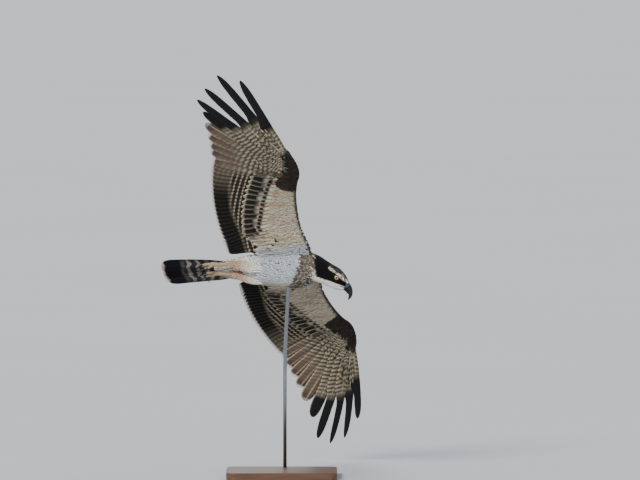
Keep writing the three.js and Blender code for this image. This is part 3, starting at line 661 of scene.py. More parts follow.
# Bend of each flight feather where the coverts end: its sag times 4 r (1 - r), along its own normal
def bendAtReach():
    course = unit(rowTips - rowRoots)
    r = covertReach(np.arange(rowCount))[:, None]
    normal = unit(rowFrames(rowRoots, course)[1] * (1 - r) + rowFrames(rowTips, course)[1] * r)
    return normal * (rowSag[:, None] * 4 * r * (1 - r))


rowBend = bendAtReach()


# Root, tip and leading edge for any place along the row, also a little inside its inner end
def rowAt(q):
    inside = np.minimum(q, 0)[..., None]
    root, tip = (alongRow(q, ends) + inside * np.array(coverts[step])
                 for ends, step in ((rowRoots, "rootStep"), (rowTips, "tipStep")))
    frontY = root[..., 1] + 5 * ramp(q, firstPrimary - 6, firstPrimary)
    return root, tip, np.stack([wingAt(frontY, 1), frontY, wingAt(frontY, 2)], -1)


# A point of the covert sheet, above (face +1) or below (face -1) the wing's middle surface
def wingSurface(q, c, face, side, inset=0.0):
    root, tip, front = rowAt(q)
    end = between(root, tip, covertReach(q)[..., None]) + alongRow(q, rowBend)
    t = c[..., None]
    middle = (1 - t) ** 2 * front + 2 * t * (1 - t) * root + t**2 * end
    profile = np.sqrt(np.clip(c, 0, 1)) * np.clip(1 - c, 0, 1) ** 0.9 * 1.95
    share = coverts["overDepth"] if face > 0 else coverts["underDepth"]
    depth = np.maximum(wingAt(front[..., 1], 3) * share * profile + 3.6 * ramp(c, 0.0, 0.35) - inset, 0.2)
    return (middle + np.stack([0 * depth, 0 * depth, face * depth], -1)) * np.array([1.0, side, 1.0])


# Numerical normal of a surface from two short steps
def normalOf(surface, u, v, du, dv):
    a = surface(u + du, v) - surface(u - du, v)
    b = surface(u, v + dv) - surface(u, v - dv)
    return unit(np.cross(a, b))


# How far contour feathers splay, their thickness, how much their lift varies, and the spacing of body rows
coatPlan = {"splay": 0.5, "thick": 0.12, "vary": 0.35, "spacing": 1.25, "rowStep": 0.36}


# Contour feathers over a surface: each runs along the surface from its root, rolls a little over its
# neighbour and lifts off towards its tip
def layCoat(name, surface, u, v, step, halfWidth, height, colour, bakeUv, outward, seed,
            stations=5, columns=3, rootLift=0.0, roll=0.0, bars=1.0, arch=0.2):
    n = len(u)
    draw = np.random.default_rng(seed)
    s, across = np.linspace(0, 1, stations), np.linspace(-1, 1, columns)
    s3, t3, half = s[None, :, None], across[None, None], halfWidth[:, None, None]
    splay = (draw.random(n) - 0.5) * coatPlan["splay"]
    share = np.interp(s, [0, 0.25, 0.6, 0.85, 1], [0.35, 0.85, 1.0, 0.82, 0.16])[None, :, None]
    pu = u[:, None] + step[:, None] * s[None]
    pv = np.repeat(v[:, None], stations, 1)
    spine = surface(pu, pv)
    tiny = 1e-3
    course = unit(surface(pu + step[:, None] * tiny, pv) - spine)
    normal = normalOf(surface, pu, pv, np.abs(step[:, None]) * 0.05 + 1e-4, 0.02)
    normal = facing(normal, outward(spine))
    cross = unit(np.cross(normal, course))
    cos, sin = np.cos(roll), np.sin(roll)
    cross, normal = cross * cos + normal * sin, normal * cos - cross * sin
    lean = (splay[:, None] * s[None] * halfWidth[:, None])[..., None] * cross
    jitter = 1 + coatPlan["vary"] * (draw.random(n)[:, None] - 0.5)
    lift = between(rootLift, 1.0, s ** 1.5)[None] * jitter * height[:, None]
    middle = spine + normal * lift[..., None] + lean
    width = half * share * across
    camber = -arch * half * share * across**2
    sheet = middle[:, :, None] + cross[:, :, None] * width[..., None] + normal[:, :, None] * camber[..., None]
    depth = coatPlan["thick"] * (1 - across**2)[None, None, :, None] * normal[:, :, None]
    look = colour(spine, s3, t3, draw)
    vaneUv = paired(t3 * 0.5 + 0.5, s3 * np.broadcast_to(bars, (n,))[:, None, None])
    bake = np.clip(bakeUv[:, None, None] + paired(0.0015 * t3, 0.003 * (s3 - 0.5)), 0, 1)
    piece = addVanes(name, sheet + depth, sheet - depth, look, look, look, vaneUv, bake, coatMaterial)


# Rows across the chord: where each starts, its feathers' length, half width and spacing in mm
covertRows = [(0.0, 6, 3.2, 3.8), (0.045, 10, 4.0, 4.8), (0.09, 11, 4.2, 5.0), (0.135, 12, 4.4, 5.2),
              (0.18, 13, 4.6, 5.4), (0.225, 14, 4.8, 5.6), (0.27, 15, 5.0, 5.8), (0.32, 16, 5.3, 6.2),
              (0.37, 18, 5.6, 6.6), (0.42, 20, 6.0, 7.0), (0.48, 30, 8.5, 12.5), (0.62, 60, 8.8, 0.0)]
greaterRow = len(covertRows) - 1
armpitSpots = ((-44.0, 73.0), (-29.0, 88.0), (-18.0, 100.0))
carpal = {"span": [255, 268, 282, 300, 322, 345, 392], "depth": [0, 22, 44, 48, 40, 24, 13]}


# Ground colour of the wing's coverts at places in bird mm: cream below, with the blackish patch at the wrist,
# and dark brown above
def wingGround(place, over, rnd):
    y = np.abs(place[:, 1])
    streak = noise(place[:, 1] * 0.16 + 5, place[:, 0] * 0.035 + 2)
    behind = wingAt(y, 1) - place[:, 0]
    edge = np.interp(y + 8 * (rnd - 0.5), carpal["span"], carpal["depth"])
    patch = (edge > 1) * fade(behind + 9 * (rnd - 0.5), edge - 4, edge + 5)
    line = 1 - ramp(behind, 1.5, 5.5)
    dusk = blendColour(plumage["black"], plumage["brown"] * 0.8, 0.75 * np.asarray(rnd) ** 1.5)
    # cream with white and rust streaks, and painted blue-grey shade near the body
    base = layered(plumage["cream"], ("white", 0.06 + 0.26 * rnd), ("rust", 0.42 * ramp(streak, 0.45, 0.85)),
                   ("shadeBlue", 0.75 * fade(y, 62, 96)))
    base = blendColour(base, dusk, np.clip(patch + 0.9 * line, 0, 1) * 0.96)
    above = blendColour(plumage["backBrown"], plumage["brown"], 0.8 * rnd)
    return blendColour(base, above, over), patch


# Markings of the coverts by row, span and face
def covertColour(rowIndex, q, face):
    def paint(course, s3, t3, draw):
        rnd = draw.random(len(rowIndex))
        ground, patch = wingGround(course[:, 0], float(face > 0), rnd)
        fields = (ground, rowIndex.astype(float), q, patch, rnd)
        ground, r, span, patch, rnd = (field[:, None, None] for field in fields)
        if face > 0:
            edge = ramp(s3, 0.82, 0.95) * (0.3 + 0.5 * rnd)
            return layered(ground, ("buff", edge)), plumage["ink"], np.zeros(2)
        hand = ramp(span, firstPrimary - 2.0, firstPrimary + 1.0)
        inner = ramp(span, 1.0, 3.5)
        last, median = r == greaterRow, r == greaterRow - 1
        # greater coverts: a black blob on each, with a pale rim and tip; a smaller spot on each median covert
        rim = ramp(np.abs(t3), 0.8, 0.97)
        start = 0.24 + 0.14 * rnd
        greater = last * ramp(s3, start, start + 0.08) * fade(s3, 0.88, 0.94) * (1 - rim)
        spot = median * ramp(s3, 0.5, 0.58) * fade(s3, 0.84, 0.9) * (1 - rim)
        blob = (greater + spot) * fade(span, firstPrimary - 0.6, firstPrimary + 0.8) * inner
        tint = layered(ground, ("paleEdge", (last | median) * 0.35 * ramp(s3, 0.7, 0.9)),
                       ("barDark", last * inner * 0.4 * fade(s3, 0.4, 0.8)),
                       ("black", 0.98 * np.clip(blob, 0, 1)))
        for x, out in armpitSpots:
            near = np.hypot(course[..., 0] - x, np.abs(course[..., 1]) - out)[..., None]
            tint = layered(tint, ("black", 0.95 * fade(near, 2.6, 4.6)))
        barred = np.clip(hand * ramp(r, 5.5, 8.0) * (1 - patch) + 0.5 * hand * (1 - patch), 0, 1)
        tint = layered(tint, ("ground", 0.4 * barred))
        mark = blendColour(plumage["barDark"], plumage["ground"], 0.3 * rnd)
        return tint, mark, paired(barred * fade(s3, 0.95, 1.0) * (0.7 + 0.3 * rnd), 0.1)
    return paint


# All coverts of one face of one wing, in rows from the leading edge back. A step along the sheet is the
# feather's length over the sheet's own measure there, except in the two last rows
def makeCoverts(label, side, face):
    q, c, length, half, row = [], [], [], [], []
    draw = np.random.default_rng(20 + face)
    dense = np.linspace(coverts["inner"], rowCount - 1.0, 400)
    spanLength = np.concatenate([[0], np.cumsum(np.linalg.norm(np.diff(rowAt(dense)[0], axis=0), axis=1))])
    for index, (start, long, wide, spacing) in enumerate(covertRows):
        if index == greaterRow:
            arm = (4.0, firstPrimary - 0.5, coverts["armStep"])
            ranges = (coverts["armpit"], arm, (firstPrimary, rowCount))
            places = np.concatenate([np.arange(*span) for span in ranges])
            wobble = 0.12
        else:
            count = int(spanLength[-1] / spacing)
            at = (np.arange(count) + (0.5 if index % 2 else 0.0)) * spacing
            places = np.interp(at, spanLength, dense)
            wobble = 0.35
        places = places + (draw.random(len(places)) - 0.5) * wobble
        n = len(places)
        q.append(np.clip(places, coverts["inner"], rowCount - 1.0 - 0.05 * index))
        c.append(start + (draw.random(n) - 0.5) * (0.05 if index < greaterRow - 1 else 0.012))
        length.append(long * (0.88 + 0.24 * draw.random(n) if index < greaterRow else np.ones(n)))
        onArm = (index == greaterRow) * (places > 3.6) * (places < firstPrimary - 0.6)
        half.append(wide * (1 + 0.42 * onArm))
        row.append(np.full(n, index))
    q, c, length, half, row = (np.concatenate(x) for x in (q, c, length, half, row))
    loose = fade(q, 2.5, 4.5) * (row >= greaterRow - 1)      # soft feathers of the armpit
    c = np.clip(c + loose * 0.22 * (draw.random(len(q)) - 0.5), 0.004, 1)
    half = half * (1 - 0.35 * loose) * (1 - 0.58 * ramp(q, rowCount - 5.0, rowCount - 1.2))
    surface = lambda a, b: wingSurface(b, np.clip(a, 0.0, 1.25), face, side)
    tiny = 0.01
    metric = np.linalg.norm(surface(c + tiny, q) - surface(c, q), axis=-1) / tiny
    tucked = 0.12 * fade(q, 0.0, 3.0) * (face < 0)          # white feathers stay under the brown ones
    greaterStep = 1.03 - c - tucked - loose * 0.12 * draw.random(len(q))
    stepC = np.where(row == greaterRow, greaterStep, length / metric)
    stepC = np.where(row == greaterRow - 1, 0.27, stepC)
    up = np.array([0, 0, float(face)])
    bake = paired((q - coverts["inner"]) / (rowCount + 2.5) * 0.96 + 0.02, np.clip(c, 0, 1) * 0.94 + 0.03)
    height = np.interp(row, [0, 8, 11], [0.8, 1.1, 1.4])
    bars = np.where(row >= greaterRow - 1, 5.0, 2.0)
    name = f"coverts_{'over' if face > 0 else 'under'}_{label}"
    layCoat(name, surface, c, q, stepC, half, height, covertColour(row, q, face), bake,
            lambda p: up, 31 + face + side, stations=7, columns=5, rootLift=coverts["rootLift"],
            roll=coverts["roll"] * side * face, bars=bars, arch=coverts["arch"])


print("coverts")
for label, side in bothSides:
    for face in (1, -1):
        makeCoverts(label, side, face)


# Markings of head, neck and body, by place in bird mm: colour, and weights of head, back and breast band
def bodyColour(place):
    x, y, z = place.T
    hx, _, hz = ((place - headAt) @ headTurn).T
    wave = noise(x * 0.11 + 9, y * 0.13 + z * 0.17)
    fine = noise(x * 0.33 + 3, y * 0.3 + z * 0.41)
    # belly and flanks white with painted blue-grey shade over the middle of the belly, the vent cream, the back
    # brown down to the flank line
    flank = np.interp(x, [-212, -150, -90, -40], [-10.0, -8.5, -4.0, 4.0])
    back = ramp(z - 0.22 * np.abs(y) - flank, 0, 6)
    body = layered(plumage["white"], ("shadeBlue", 0.9 * ramp(x, -110, -45) * fade(x, 45, 75)),
                   # painted shade: olive cream towards the left side of the body
                   ("cream", 0.5 * ramp(-x, 70, 130) * (0.4 + wave)), ("cream", 0.75 * ramp(y, -10, 16)),
                   ("backBrown", back))
    # breast band: slants back on the left, dense behind and breaking up towards the throat
    rear = 26 - 0.55 * np.clip(y, -50, 40) + 12 * (fine - 0.5)
    band = ramp(x, rear - 7, rear + 7) * fade(x, 78, 100) * (1 - back)
    density = 1.1 - 0.6 * ramp(x - rear, 22, 62)
    # head: white, with a black stripe from the bill through the eye that takes in the whole nape
    lower = np.interp(hx, [-60, -28, -15, 17, 35, 44], [-24, -21, -17.5, -8, -3, -1])
    upper = np.interp(hx, [-60, -24, -12, 12, 30, 44], [60, 26, 14.5, 13.5, 11.5, 9]) + 3.5 * (wave - 0.5)
    nape = ramp(-hx, 15, 22) * ramp(hz, 4, 10)
    mask = ramp(hz, lower - 1.5, lower + 1.5) * np.maximum(1 - ramp(hz, upper - 1.5, upper + 1.5), nape)
    rearLine = -30 - 0.75 * (hz + 20)
    mask = mask * ramp(hx, rearLine - 5, rearLine + 3)
    high = hz + 5 * (fine - 0.5)
    crown = ramp(high, 18.5, 21.5) * fade(hx, 16, 36) + ramp(high, 14.5, 17.5) * ramp(hx, 20, 32)
    flecks = ramp(fine, 0.36, 0.62) * ramp(hz, upper - 2, upper + 2)
    headColour = layered(plumage["white"], ("cream", 0.35 * wave), ("brown", 0.7 * flecks))
    headColour = blendColour(headColour, plumage["brown"] * 0.25, 0.95 * np.clip(crown, 0, 1))
    headColour = layered(headColour, ("black", np.clip(mask, 0, 1)))
    isHead = np.maximum(ramp(hx, -64, -52), mask)
    band = band * fade(hx + 10 * (fine - 0.5), -46, -30)
    return blendColour(body, headColour, isHead), isHead, back, band, np.clip(density, 0, 1)


# Colours of a set of body feathers: scalloped breast, pale-edged back
def bodyPaint(course, s3, t3, draw):
    base, isHead, back, band, density = bodyColour(course[:, 0])
    rnd, pick = draw.random(len(course))[:, None, None], draw.random(len(course))
    tint = base[:, None, None] * (0.93 + 0.12 * rnd)[..., None]
    scallop = (back * (1 - isHead))[:, None, None] * ramp(s3, 0.82, 0.95) * (0.3 + 0.4 * rnd)
    dark = ((pick < density) * ramp(band, 0.3, 0.6))[:, None, None] * ramp(s3, 0.1, 0.3)
    rim = np.maximum(ramp(s3, 0.84, 0.94), 0.5 * ramp(np.abs(t3), 0.75, 0.95))
    rim = dark * rim * (0.1 + 0.9 * (rnd > 0.6))
    tint = layered(tint, ("buff", scallop), ("brown", 0.92 * dark), ("paleEdge", 0.75 * rim))
    return tint, plumage["brown"], np.zeros(2)


# Rows of feathers round the body, closer and shorter towards the bill
def makeBodyCoat(name, start, stop, sizes, seed):
    a, phi, long, half = [], [], [], []
    at, row = start, 0
    draw = np.random.default_rng(seed)
    while at < stop:
        length, wide = (float(np.interp(at, sizes[0], column)) for column in sizes[1:3])
        size = through(np.array([at]), bodyAt, bodySizes)[0]
        girth = math.pi * (size[0] + (size[1] + size[2]) / 2)
        count = int(girth / (wide * coatPlan["spacing"]))
        ring = (np.arange(count) + 0.5 * (row % 2)) / count * 2 * math.pi
        a.append(at + (draw.random(count) - 0.5) * length * 0.4)
        phi.append(ring + (draw.random(count) - 0.5) * 0.6 * 2 * math.pi / count)
        long.append(length * (0.85 + 0.3 * draw.random(count)))
        half.append(wide * (0.85 + 0.3 * draw.random(count)))
        at += length * coatPlan["rowStep"]
        row += 1
    a, phi, long, half = (np.concatenate(x) for x in (a, phi, long, half))
    surface = lambda p, r: bodySurface(np.minimum(p, bodyEnd), r, ramp(p, 0, 30) * 0.5)
    outward = lambda p: p - through(np.repeat(a[:, None], p.shape[1], 1), bodyAt, bodyMiddles)
    bake = paired((phi / (2 * math.pi)) % 1 * 0.98 + 0.01, (a - start) / (stop - start) * 0.96 + 0.02)
    height = np.interp(a, sizes[0], sizes[3])
    layCoat(name, surface, a, phi, long, half, height, bodyPaint, bake, outward, seed,
            stations=6)


print("body and head coats")
# Each by distance from the bill: length, half width and height of the feathers
headSizes = ([0, 12, 30, 60, 90, 120], [2.5, 3.1, 4.8, 7.4, 9.6, 11.5], [0.85, 1.15, 1.7, 2.5, 3.3, 4.0],
             [0.28, 0.33, 0.45, 0.65, 0.8, 0.9])
bodySizeRows = ([80, 120, 200, 300, 400], [10, 14, 17, 21, 22], [3.6, 4.6, 5.6, 6.0, 6.0],
                [0.9, 1.1, 1.2, 1.2, 1.1])
makeBodyCoat("coat_head", 0.8, neckAt + 16, headSizes, 51)
makeBodyCoat("coat_body", neckAt + 6, bodyEnd - 18, bodySizeRows, 52)

print("skin")


# A closed tube of rings (r, k, 3) in bird mm or world metres, capped by a middle point at each end, or joined
# from its last ring to its first
def addTube(name, rings, material, worldSpace=False, joined=False):
    count, around, _ = rings.shape
    points = rings if worldSpace else toWorld(rings)
    grid = np.arange(count * around).reshape(count, around)
    vertices, caps = points.reshape(-1, 3), []
    if joined:
        grid = np.concatenate([grid, grid[:1]])
    else:
        vertices = np.concatenate([vertices, points[0].mean(0)[None], points[-1].mean(0)[None]])
        low, high = grid[0], grid[-1]
        caps = np.stack([np.full(around, count * around), np.roll(low, -1), low], -1).tolist()
        caps += np.stack([np.full(around, count * around + 1), high, np.roll(high, -1)], -1).tolist()
    after = np.roll(grid, -1, 1)
    quads = np.stack([grid[:-1], after[:-1], after[1:], grid[1:]], -1).reshape(-1, 4)
    mesh = bpy.data.meshes.new(name)
    mesh.from_pydata(vertices.tolist(), [], quads.tolist() + caps)
    obj = addObject(name, mesh, material)
    makeOutward(mesh)
    return obj


# Join pieces into the first of them
def joinPieces(pieces):
    bpy.ops.object.select_all(action="DESELECT")
    for piece in pieces:
        piece.select_set(True)
    bpy.context.view_layer.objects.active = pieces[0]
    bpy.ops.object.join()
    return pieces[0]


# Recalculate a closed mesh's normals so that they point out
def makeOutward(mesh):
    work = bmesh.new()
    work.from_mesh(mesh)
    bmesh.ops.remove_doubles(work, verts=work.verts, dist=1e-7)
    bmesh.ops.recalc_face_normals(work, faces=work.faces)
    work.to_mesh(mesh)
    work.free()


# A round limb: rings of a radius square to the course of its middles
def limbRings(middles, radii, around=16):
    middles, radii = np.asarray(middles, float), np.asarray(radii, float)
    course = unit(np.gradient(middles, axis=0))
    across = squareTo(course, np.array([0, 1.0, 0]))
    up = np.cross(course, across)
    c, s = (wave(circle(around))[None, :, None] for wave in (np.cos, np.sin))
    return middles[:, None] + radii[:, None, None] * (across[:, None] * c + up[:, None] * s)


# Skin of a feathered bird: thin and pale, tinted like the feathers over it; it fills the gaps between them
def skinMaterial():
    material, tree, shader = newMaterial("featheredSkin")
    tint = addNode(tree, "Attribute", {"attribute_name": "tint"})
    down = noisePattern(tree, 700.0, 3.0)
    colour = scaled(tree, tint.outputs["Color"], spread(tree, down, 0.75, 1.1))
    feed(tree, shader, Base_Color=colour, Normal=relief(tree, down, 0.4, 0.0006), Roughness=0.85)
    return material


legPlan = {
    "left": {"hip": (-58, 16, -33), "ankle": (-150, -5, -26), "pad": (-197, -8.5, -23.5), "spread": 1},
    "right": {"hip": (-58, -28, -29), "ankle": (-150, -44, -22), "pad": (-197, -42.5, -21.5), "spread": -1},
}


# Middles and radii of a feathered thigh
def thighForm(leg, inset=0.0):
    hip, ankle = np.array(leg["hip"], float), np.array(leg["ankle"], float)
    t = np.linspace(0, 1, 14)
    radii = np.interp(t, [0, 0.15, 0.3, 0.45, 0.6, 0.75, 0.9, 1], [4, 8.5, 12.5, 14.5, 14, 11.5, 9.6, 8])
    return between(hip, ankle, t[:, None]), radii - inset


# One skin for body, head, wings and thighs: tubes run together by a voxel remesh
def makeSkin():
    material = skinMaterial()
    around = 48
    a = np.linspace(1.5, bodyEnd - 2, 90)
    inset = np.interp(a, [0, 20, 60, neckAt + 20], [0.9, 1.2, 2.0, skinPlan["depth"]])
    body = bodySurface(a[:, None], circle(around)[None], np.repeat(inset[:, None], around, 1))
    tubes = [addTube("skinBody", body, material)]
    q = np.linspace(coverts["inner"] - 1.5, rowCount - 1.2, 50)[:, None]
    c = np.broadcast_to(np.linspace(0.03, 0.8, 14), (50, 14))
    for side in (1, -1):
        top = wingSurface(q, c, 1, side, skinPlan["wing"])
        low = wingSurface(q, c[:, ::-1], -1, side, skinPlan["wing"])
        tubes.append(addTube("skinWing", np.concatenate([top, low], 1), material))
    for leg in legPlan.values():
        tubes.append(addTube("skinThigh", limbRings(*thighForm(leg, skinPlan["thigh"]), 20), material))
    skin = joinPieces(tubes)
    skin.name = "skin"
    remesh = skin.modifiers.new("fuse", "REMESH")
    remesh.mode = "VOXEL"
    remesh.voxel_size = skinPlan["voxel"]
    remesh.use_smooth_shade = True
    bpy.ops.object.modifier_apply(modifier="fuse")
    mesh = skin.data
    co, normals = (np.empty(len(mesh.vertices) * 3, np.float32) for _ in range(2))
    mesh.vertices.foreach_get("co", co)
    mesh.vertices.foreach_get("normal", normals)
    bird = (co.reshape(-1, 3) - np.array(attitude["at"])) / mm @ birdTurn
    tint, _, _, band, density = bodyColour(bird)
    upward = ramp((normals.reshape(-1, 3) @ birdTurn)[:, 2], -0.1, 0.1)
    tint = layered(tint, ("brown", 0.8 * band * density))
    tint = blendColour(tint, wingGround(bird, upward, 0.5)[0], ramp(np.abs(bird[:, 1]), 55, 70))
    addAttribute(mesh, "tint", "FLOAT_COLOR", "color", tint, 1)
    if not mesh.materials:
        mesh.materials.append(material)
    print(f"  skin: {len(mesh.polygons)} faces")
    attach(skin, "root")
    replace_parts(skin, "torso", "neck", "head", "thigh_left", "thigh_right", "wing_left_arm", "wing_left_hand",
                "wing_right_arm", "wing_right_hand", "tail")


makeSkin()

print("thigh feathers")


thighCoat = {"length": 15.0, "half": 4.0, "height": 1.3, "spacing": 5.0, "rows": (0.0, 0.93, 0.045)}


# Feathers over one thigh, lying back to the ankle
def makeThighCoat(label, leg):
    middles, radii = thighForm(leg)
    hip, ankle = middles[0], middles[-1]
    span = np.linalg.norm(ankle - hip)
    course = (ankle - hip) / span
    across = squareTo(course, np.array([0, 1.0, 0]))
    up = np.cross(course, across)
    ts = np.linspace(0, 1, len(radii))

    def surface(t, phi):
        ring = across * np.cos(phi)[..., None] + up * np.sin(phi)[..., None]
        return between(hip, ankle, t[..., None]) + np.interp(t, ts, radii)[..., None] * ring

    draw = np.random.default_rng(61)
    t, phi = [], []
    for i, at in enumerate(np.arange(*thighCoat["rows"])):
        count = int(2 * math.pi * np.interp(at, ts, radii) / thighCoat["spacing"])
        t.append(np.full(count, at) + (draw.random(count) - 0.5) * 0.02)
        phi.append((np.arange(count) + 0.5 * (i % 2)) / count * 2 * math.pi)
    t, phi = np.concatenate(t), np.concatenate(phi)
    step = thighCoat["length"] / span * (0.85 + 0.3 * draw.random(len(t)))

    def paint(course, s3, t3, pen):
        rnd = pen.random(len(t))[:, None, None]
        rusty = ramp(t, 0.15, 0.7)[:, None, None] * 0.8 + 0.15 * rnd
        return layered(plumage["white"], ("tan", rusty)), plumage["tan"], np.zeros(2)

    outward = lambda p: p - between(hip, ankle, np.clip(t, 0, 1)[:, None, None])
    bake = paired(phi / (2 * math.pi) % 1 * 0.96 + 0.02, np.clip(t, 0, 1) * 0.94 + 0.03)
    half, height = (np.full(len(t), thighCoat[key]) for key in ("half", "height"))
    layCoat(f"coat_thigh_{label}", surface, t, phi, step, half, height, paint, bake,
            outward, 62)


for label, leg in legPlan.items():
    makeThighCoat(label, leg)

print("bill, eyes, feet and claws")


# Horn of the bill and claws: near black keratin with fine growth lines, a satin gloss
def hornMaterial(name, dark, pale, roughness):
    return grainMaterial(name, (260.0, 4.0), dark, pale, 0.15, 0.0003, Roughness=roughness,
                         Specular_IOR_Level=0.35)


billHorn = hornMaterial("billHorn", "050608", "14161B", 0.38)
clawHorn = hornMaterial("clawHorn", "0D0D10", "25242A", 0.33)
# Bill stations in head mm: how far forward, height, half width and half depth
upperStations = np.array([(44.8, 5.3, 9, 8.7), (50.5, 4.5, 8.1, 8.3), (57, 1.6, 6.6, 7.7),
                          (62.6, -3.2, 5, 6.9), (67.2, -9.4, 3.7, 5.6), (69.4, -16.8, 2.4, 3.8),
                          (69.8, -25.4, 0.5, 0.7)])
lowerStations = np.array([(44.8, -6.2, 7.9, 3.9), (50.5, -7.0, 6.7, 3.8), (56.5, -8.6, 5.0, 3.3),
                          (61.6, -11.2, 2.8, 2.2)])
billPlan = {"root": 3.0, "keel": 0.35}


# Half a bill: a section swept along its bent middle line, pinched to a keel on top by a power of its cosine
def billRings(stations, steps, keel, around=28, stop=None):
    at = np.linspace(0, len(stations) - 1 if stop is None else stop, steps)
    s = through(at, np.arange(len(stations)), stations)
    s[:, 0] -= billPlan["root"] * (1 - at / (len(stations) - 1))
    middle = np.stack([s[:, 0], 0 * s[:, 0], s[:, 1]], -1)
    course = unit(np.gradient(middle, axis=0))
    up = np.stack([-course[:, 2], 0 * course[:, 0], course[:, 0]], -1)
    c, sn = np.cos(circle(around))[None], np.sin(circle(around))[None]
    wide = s[:, 2:3] * np.sign(c) * np.abs(c) ** np.where(sn > 0, 1 + keel, 1 - 1.2 * keel)
    high = s[:, 3:4] * sn
    return fromHead(middle[:, None] + wide[..., None] * np.array([0, 1.0, 0]) + high[..., None] * up[:, None])


upperBill = addTube("bill_upper_horn", billRings(upperStations, 40, billPlan["keel"]), billHorn)
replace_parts(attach(upperBill, "root"), "bill_upper")
lowerBill = addTube("bill_lower_horn", billRings(lowerStations, 20, 0.0), billHorn)
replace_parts(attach(lowerBill, "root"), "bill_lower")

cerePlan = {"stop": 1.25, "swell": 0.55, "nostril": (0.62, 0.42), "long": 0.34, "high": 0.13, "deep": 1.3}


# The cere: a soft cuff round the root of the upper bill, swollen at its root, with a slit nostril pressed
# into each side. Along runs 0 to 1 towards the bill's tip and the slits lean forward as they rise
def makeCere():
    steps, around = 46, 168
    rings = billRings(upperStations, steps, billPlan["keel"], around, cerePlan["stop"])
    outward = unit(rings - rings.mean(1, keepdims=True))
    along = np.linspace(0, 1, steps)[:, None]
    angle = circle(around)[None]
    swell = cerePlan["swell"] * np.sqrt(np.clip(1 - along**3, 0, 1)) + 0 * angle
    rise = np.sin(angle) - cerePlan["nostril"][1]
    near = along - cerePlan["nostril"][0] - 0.45 * rise
    slit = np.exp(-((near / cerePlan["high"]) ** 2 + (rise / cerePlan["long"]) ** 2) ** 2)
    rings = rings + outward * (swell - cerePlan["deep"] * slit)[..., None]
    cere = addTube("cere", rings, cereSkin)
    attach(cere, "root")


# The gape: a fold of soft skin that carries the mouth line back under the eye, lying on the cheek
def makeGape(label, side):
    x = np.linspace(47.5, 30.5, 16)
    z = np.interp(x, [30.5, 38, 47.5], [-6.4, -4.4, -2.7])
    stations = np.array(headStations)[::-1]
    wide, low = (np.interp(x, stations[:, 0], stations[:, k]) for k in (1, 3))
    y = wide * np.sqrt(np.clip(1 - (z / low) ** 2, 0, 1))
    thick = np.interp(x, [30.5, 33, 44, 47.5], [0.35, 0.95, 1.15, 0.8])
    path = fromHead(np.stack([x, side * (y - 0.1), z], -1))
    gape = addTube(f"gape_{label}", limbRings(path, thick, 12), cereSkin)
    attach(gape, "root")


cereSkin = hornMaterial("cereSkin", "2B313A", "465059", 0.52)
makeCere()
for label, side in bothSides:
    makeGape(label, side)

eyePlan = {"x": 12.0, "y": 14.7, "z": 7.0, "radius": 9.0, "iris": 5.5, "pupil": 2.9, "ring": 6.5, "lid": 1.1,
           "lidOut": 5.7}


# Middle of one eyeball in head mm, or a point further out beside it
def eyeCentre(side, out=0.0):
    return np.array([eyePlan["x"], side * (eyePlan["y"] + out), eyePlan["z"]])


# Glass eye: a yellow iris with dark rim and round pupil under a clear, wet gloss
def eyeMaterial(name, side):
    material, tree, shader = newMaterial(name)
    place = objectPlace(tree)
    centre = toWorld(fromHead(eyeCentre(side)[None]))[0]
    axis = (unit(np.array([0.18, side, 0.0])) @ headTurn.T) @ birdTurn.T
    offset = addNode(tree, "VectorMath", {"operation": "SUBTRACT"}, i0=place, i1=tuple(centre))
    reach = addNode(tree, "VectorMath", {"operation": "DOT_PRODUCT"}, i0=offset.outputs[0],
                    i1=tuple(axis))
    level = calc(tree, "DIVIDE", reach.outputs["Value"], eyePlan["radius"] * mm)
    rings = addNode(tree, "ValToRGB", None, Fac=level)
    pupil, iris = (math.sqrt(1 - (eyePlan[key] / eyePlan["radius"]) ** 2) for key in ("pupil", "iris"))
    stops = rings.color_ramp.elements
    stops[0].position, stops[0].color = 0.0, (0.01, 0.01, 0.01, 1)
    stops[1].position, stops[1].color = iris - 0.02, (0.01, 0.008, 0.005, 1)
    for position, hexText in ((iris + 0.01, "856408"), (pupil - 0.03, "D6A41C"), (pupil, "050505")):
        stops.new(position).color = (*linear(hexText), 1)
    feed(tree, shader, Base_Color=rings.outputs["Color"], Roughness=0.12, Coat_Weight=1.0,
         Coat_Roughness=0.03)
    return material


# Rings of a ball about a point, in head mm
def ballRings(centre, radius):
    theta = np.linspace(0.02, math.pi - 0.02, 24)[:, None]
    phi = circle(32)[None]
    x, z = np.sin(theta) * np.cos(phi), np.sin(theta) * np.sin(phi)
    return fromHead(centre + radius * np.stack([x, np.broadcast_to(np.cos(theta), x.shape), z], -1))


# A lid: a ring of skin round the opening of one eye, thicker above than below
def lidRings(side):
    turn, tube = circle(40), circle(12)
    thick = eyePlan["lid"] + 0.6 * np.clip(np.sin(turn), 0, 1)
    out = unit(np.array([0.3, side, 0.0]))
    fore = unit(np.array([1.0, -side * 0.3, 0.0]))
    radial = fore * np.cos(turn)[:, None] + np.array([0, 0, 1.0]) * np.sin(turn)[:, None]
    path = eyeCentre(side, eyePlan["lidOut"]) + radial * eyePlan["ring"]
    section = radial[:, None] * np.cos(tube)[None, :, None] + out * np.sin(tube)[None, :, None]
    return fromHead(path[:, None] + thick[:, None, None] * section)


lidSkin = hornMaterial("lidSkin", "1C1D22", "34343A", 0.6)
for label, side in bothSides:
    rings = ballRings(eyeCentre(side), eyePlan["radius"])
    ball = addTube(f"eyeball_{label}", rings, eyeMaterial(f"glassEye_{label}", side))
    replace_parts(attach(ball, "root"), f"eye_{label}")
    lid = addTube(f"lid_{label}", lidRings(side), lidSkin, joined=True)
    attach(lid, "root")


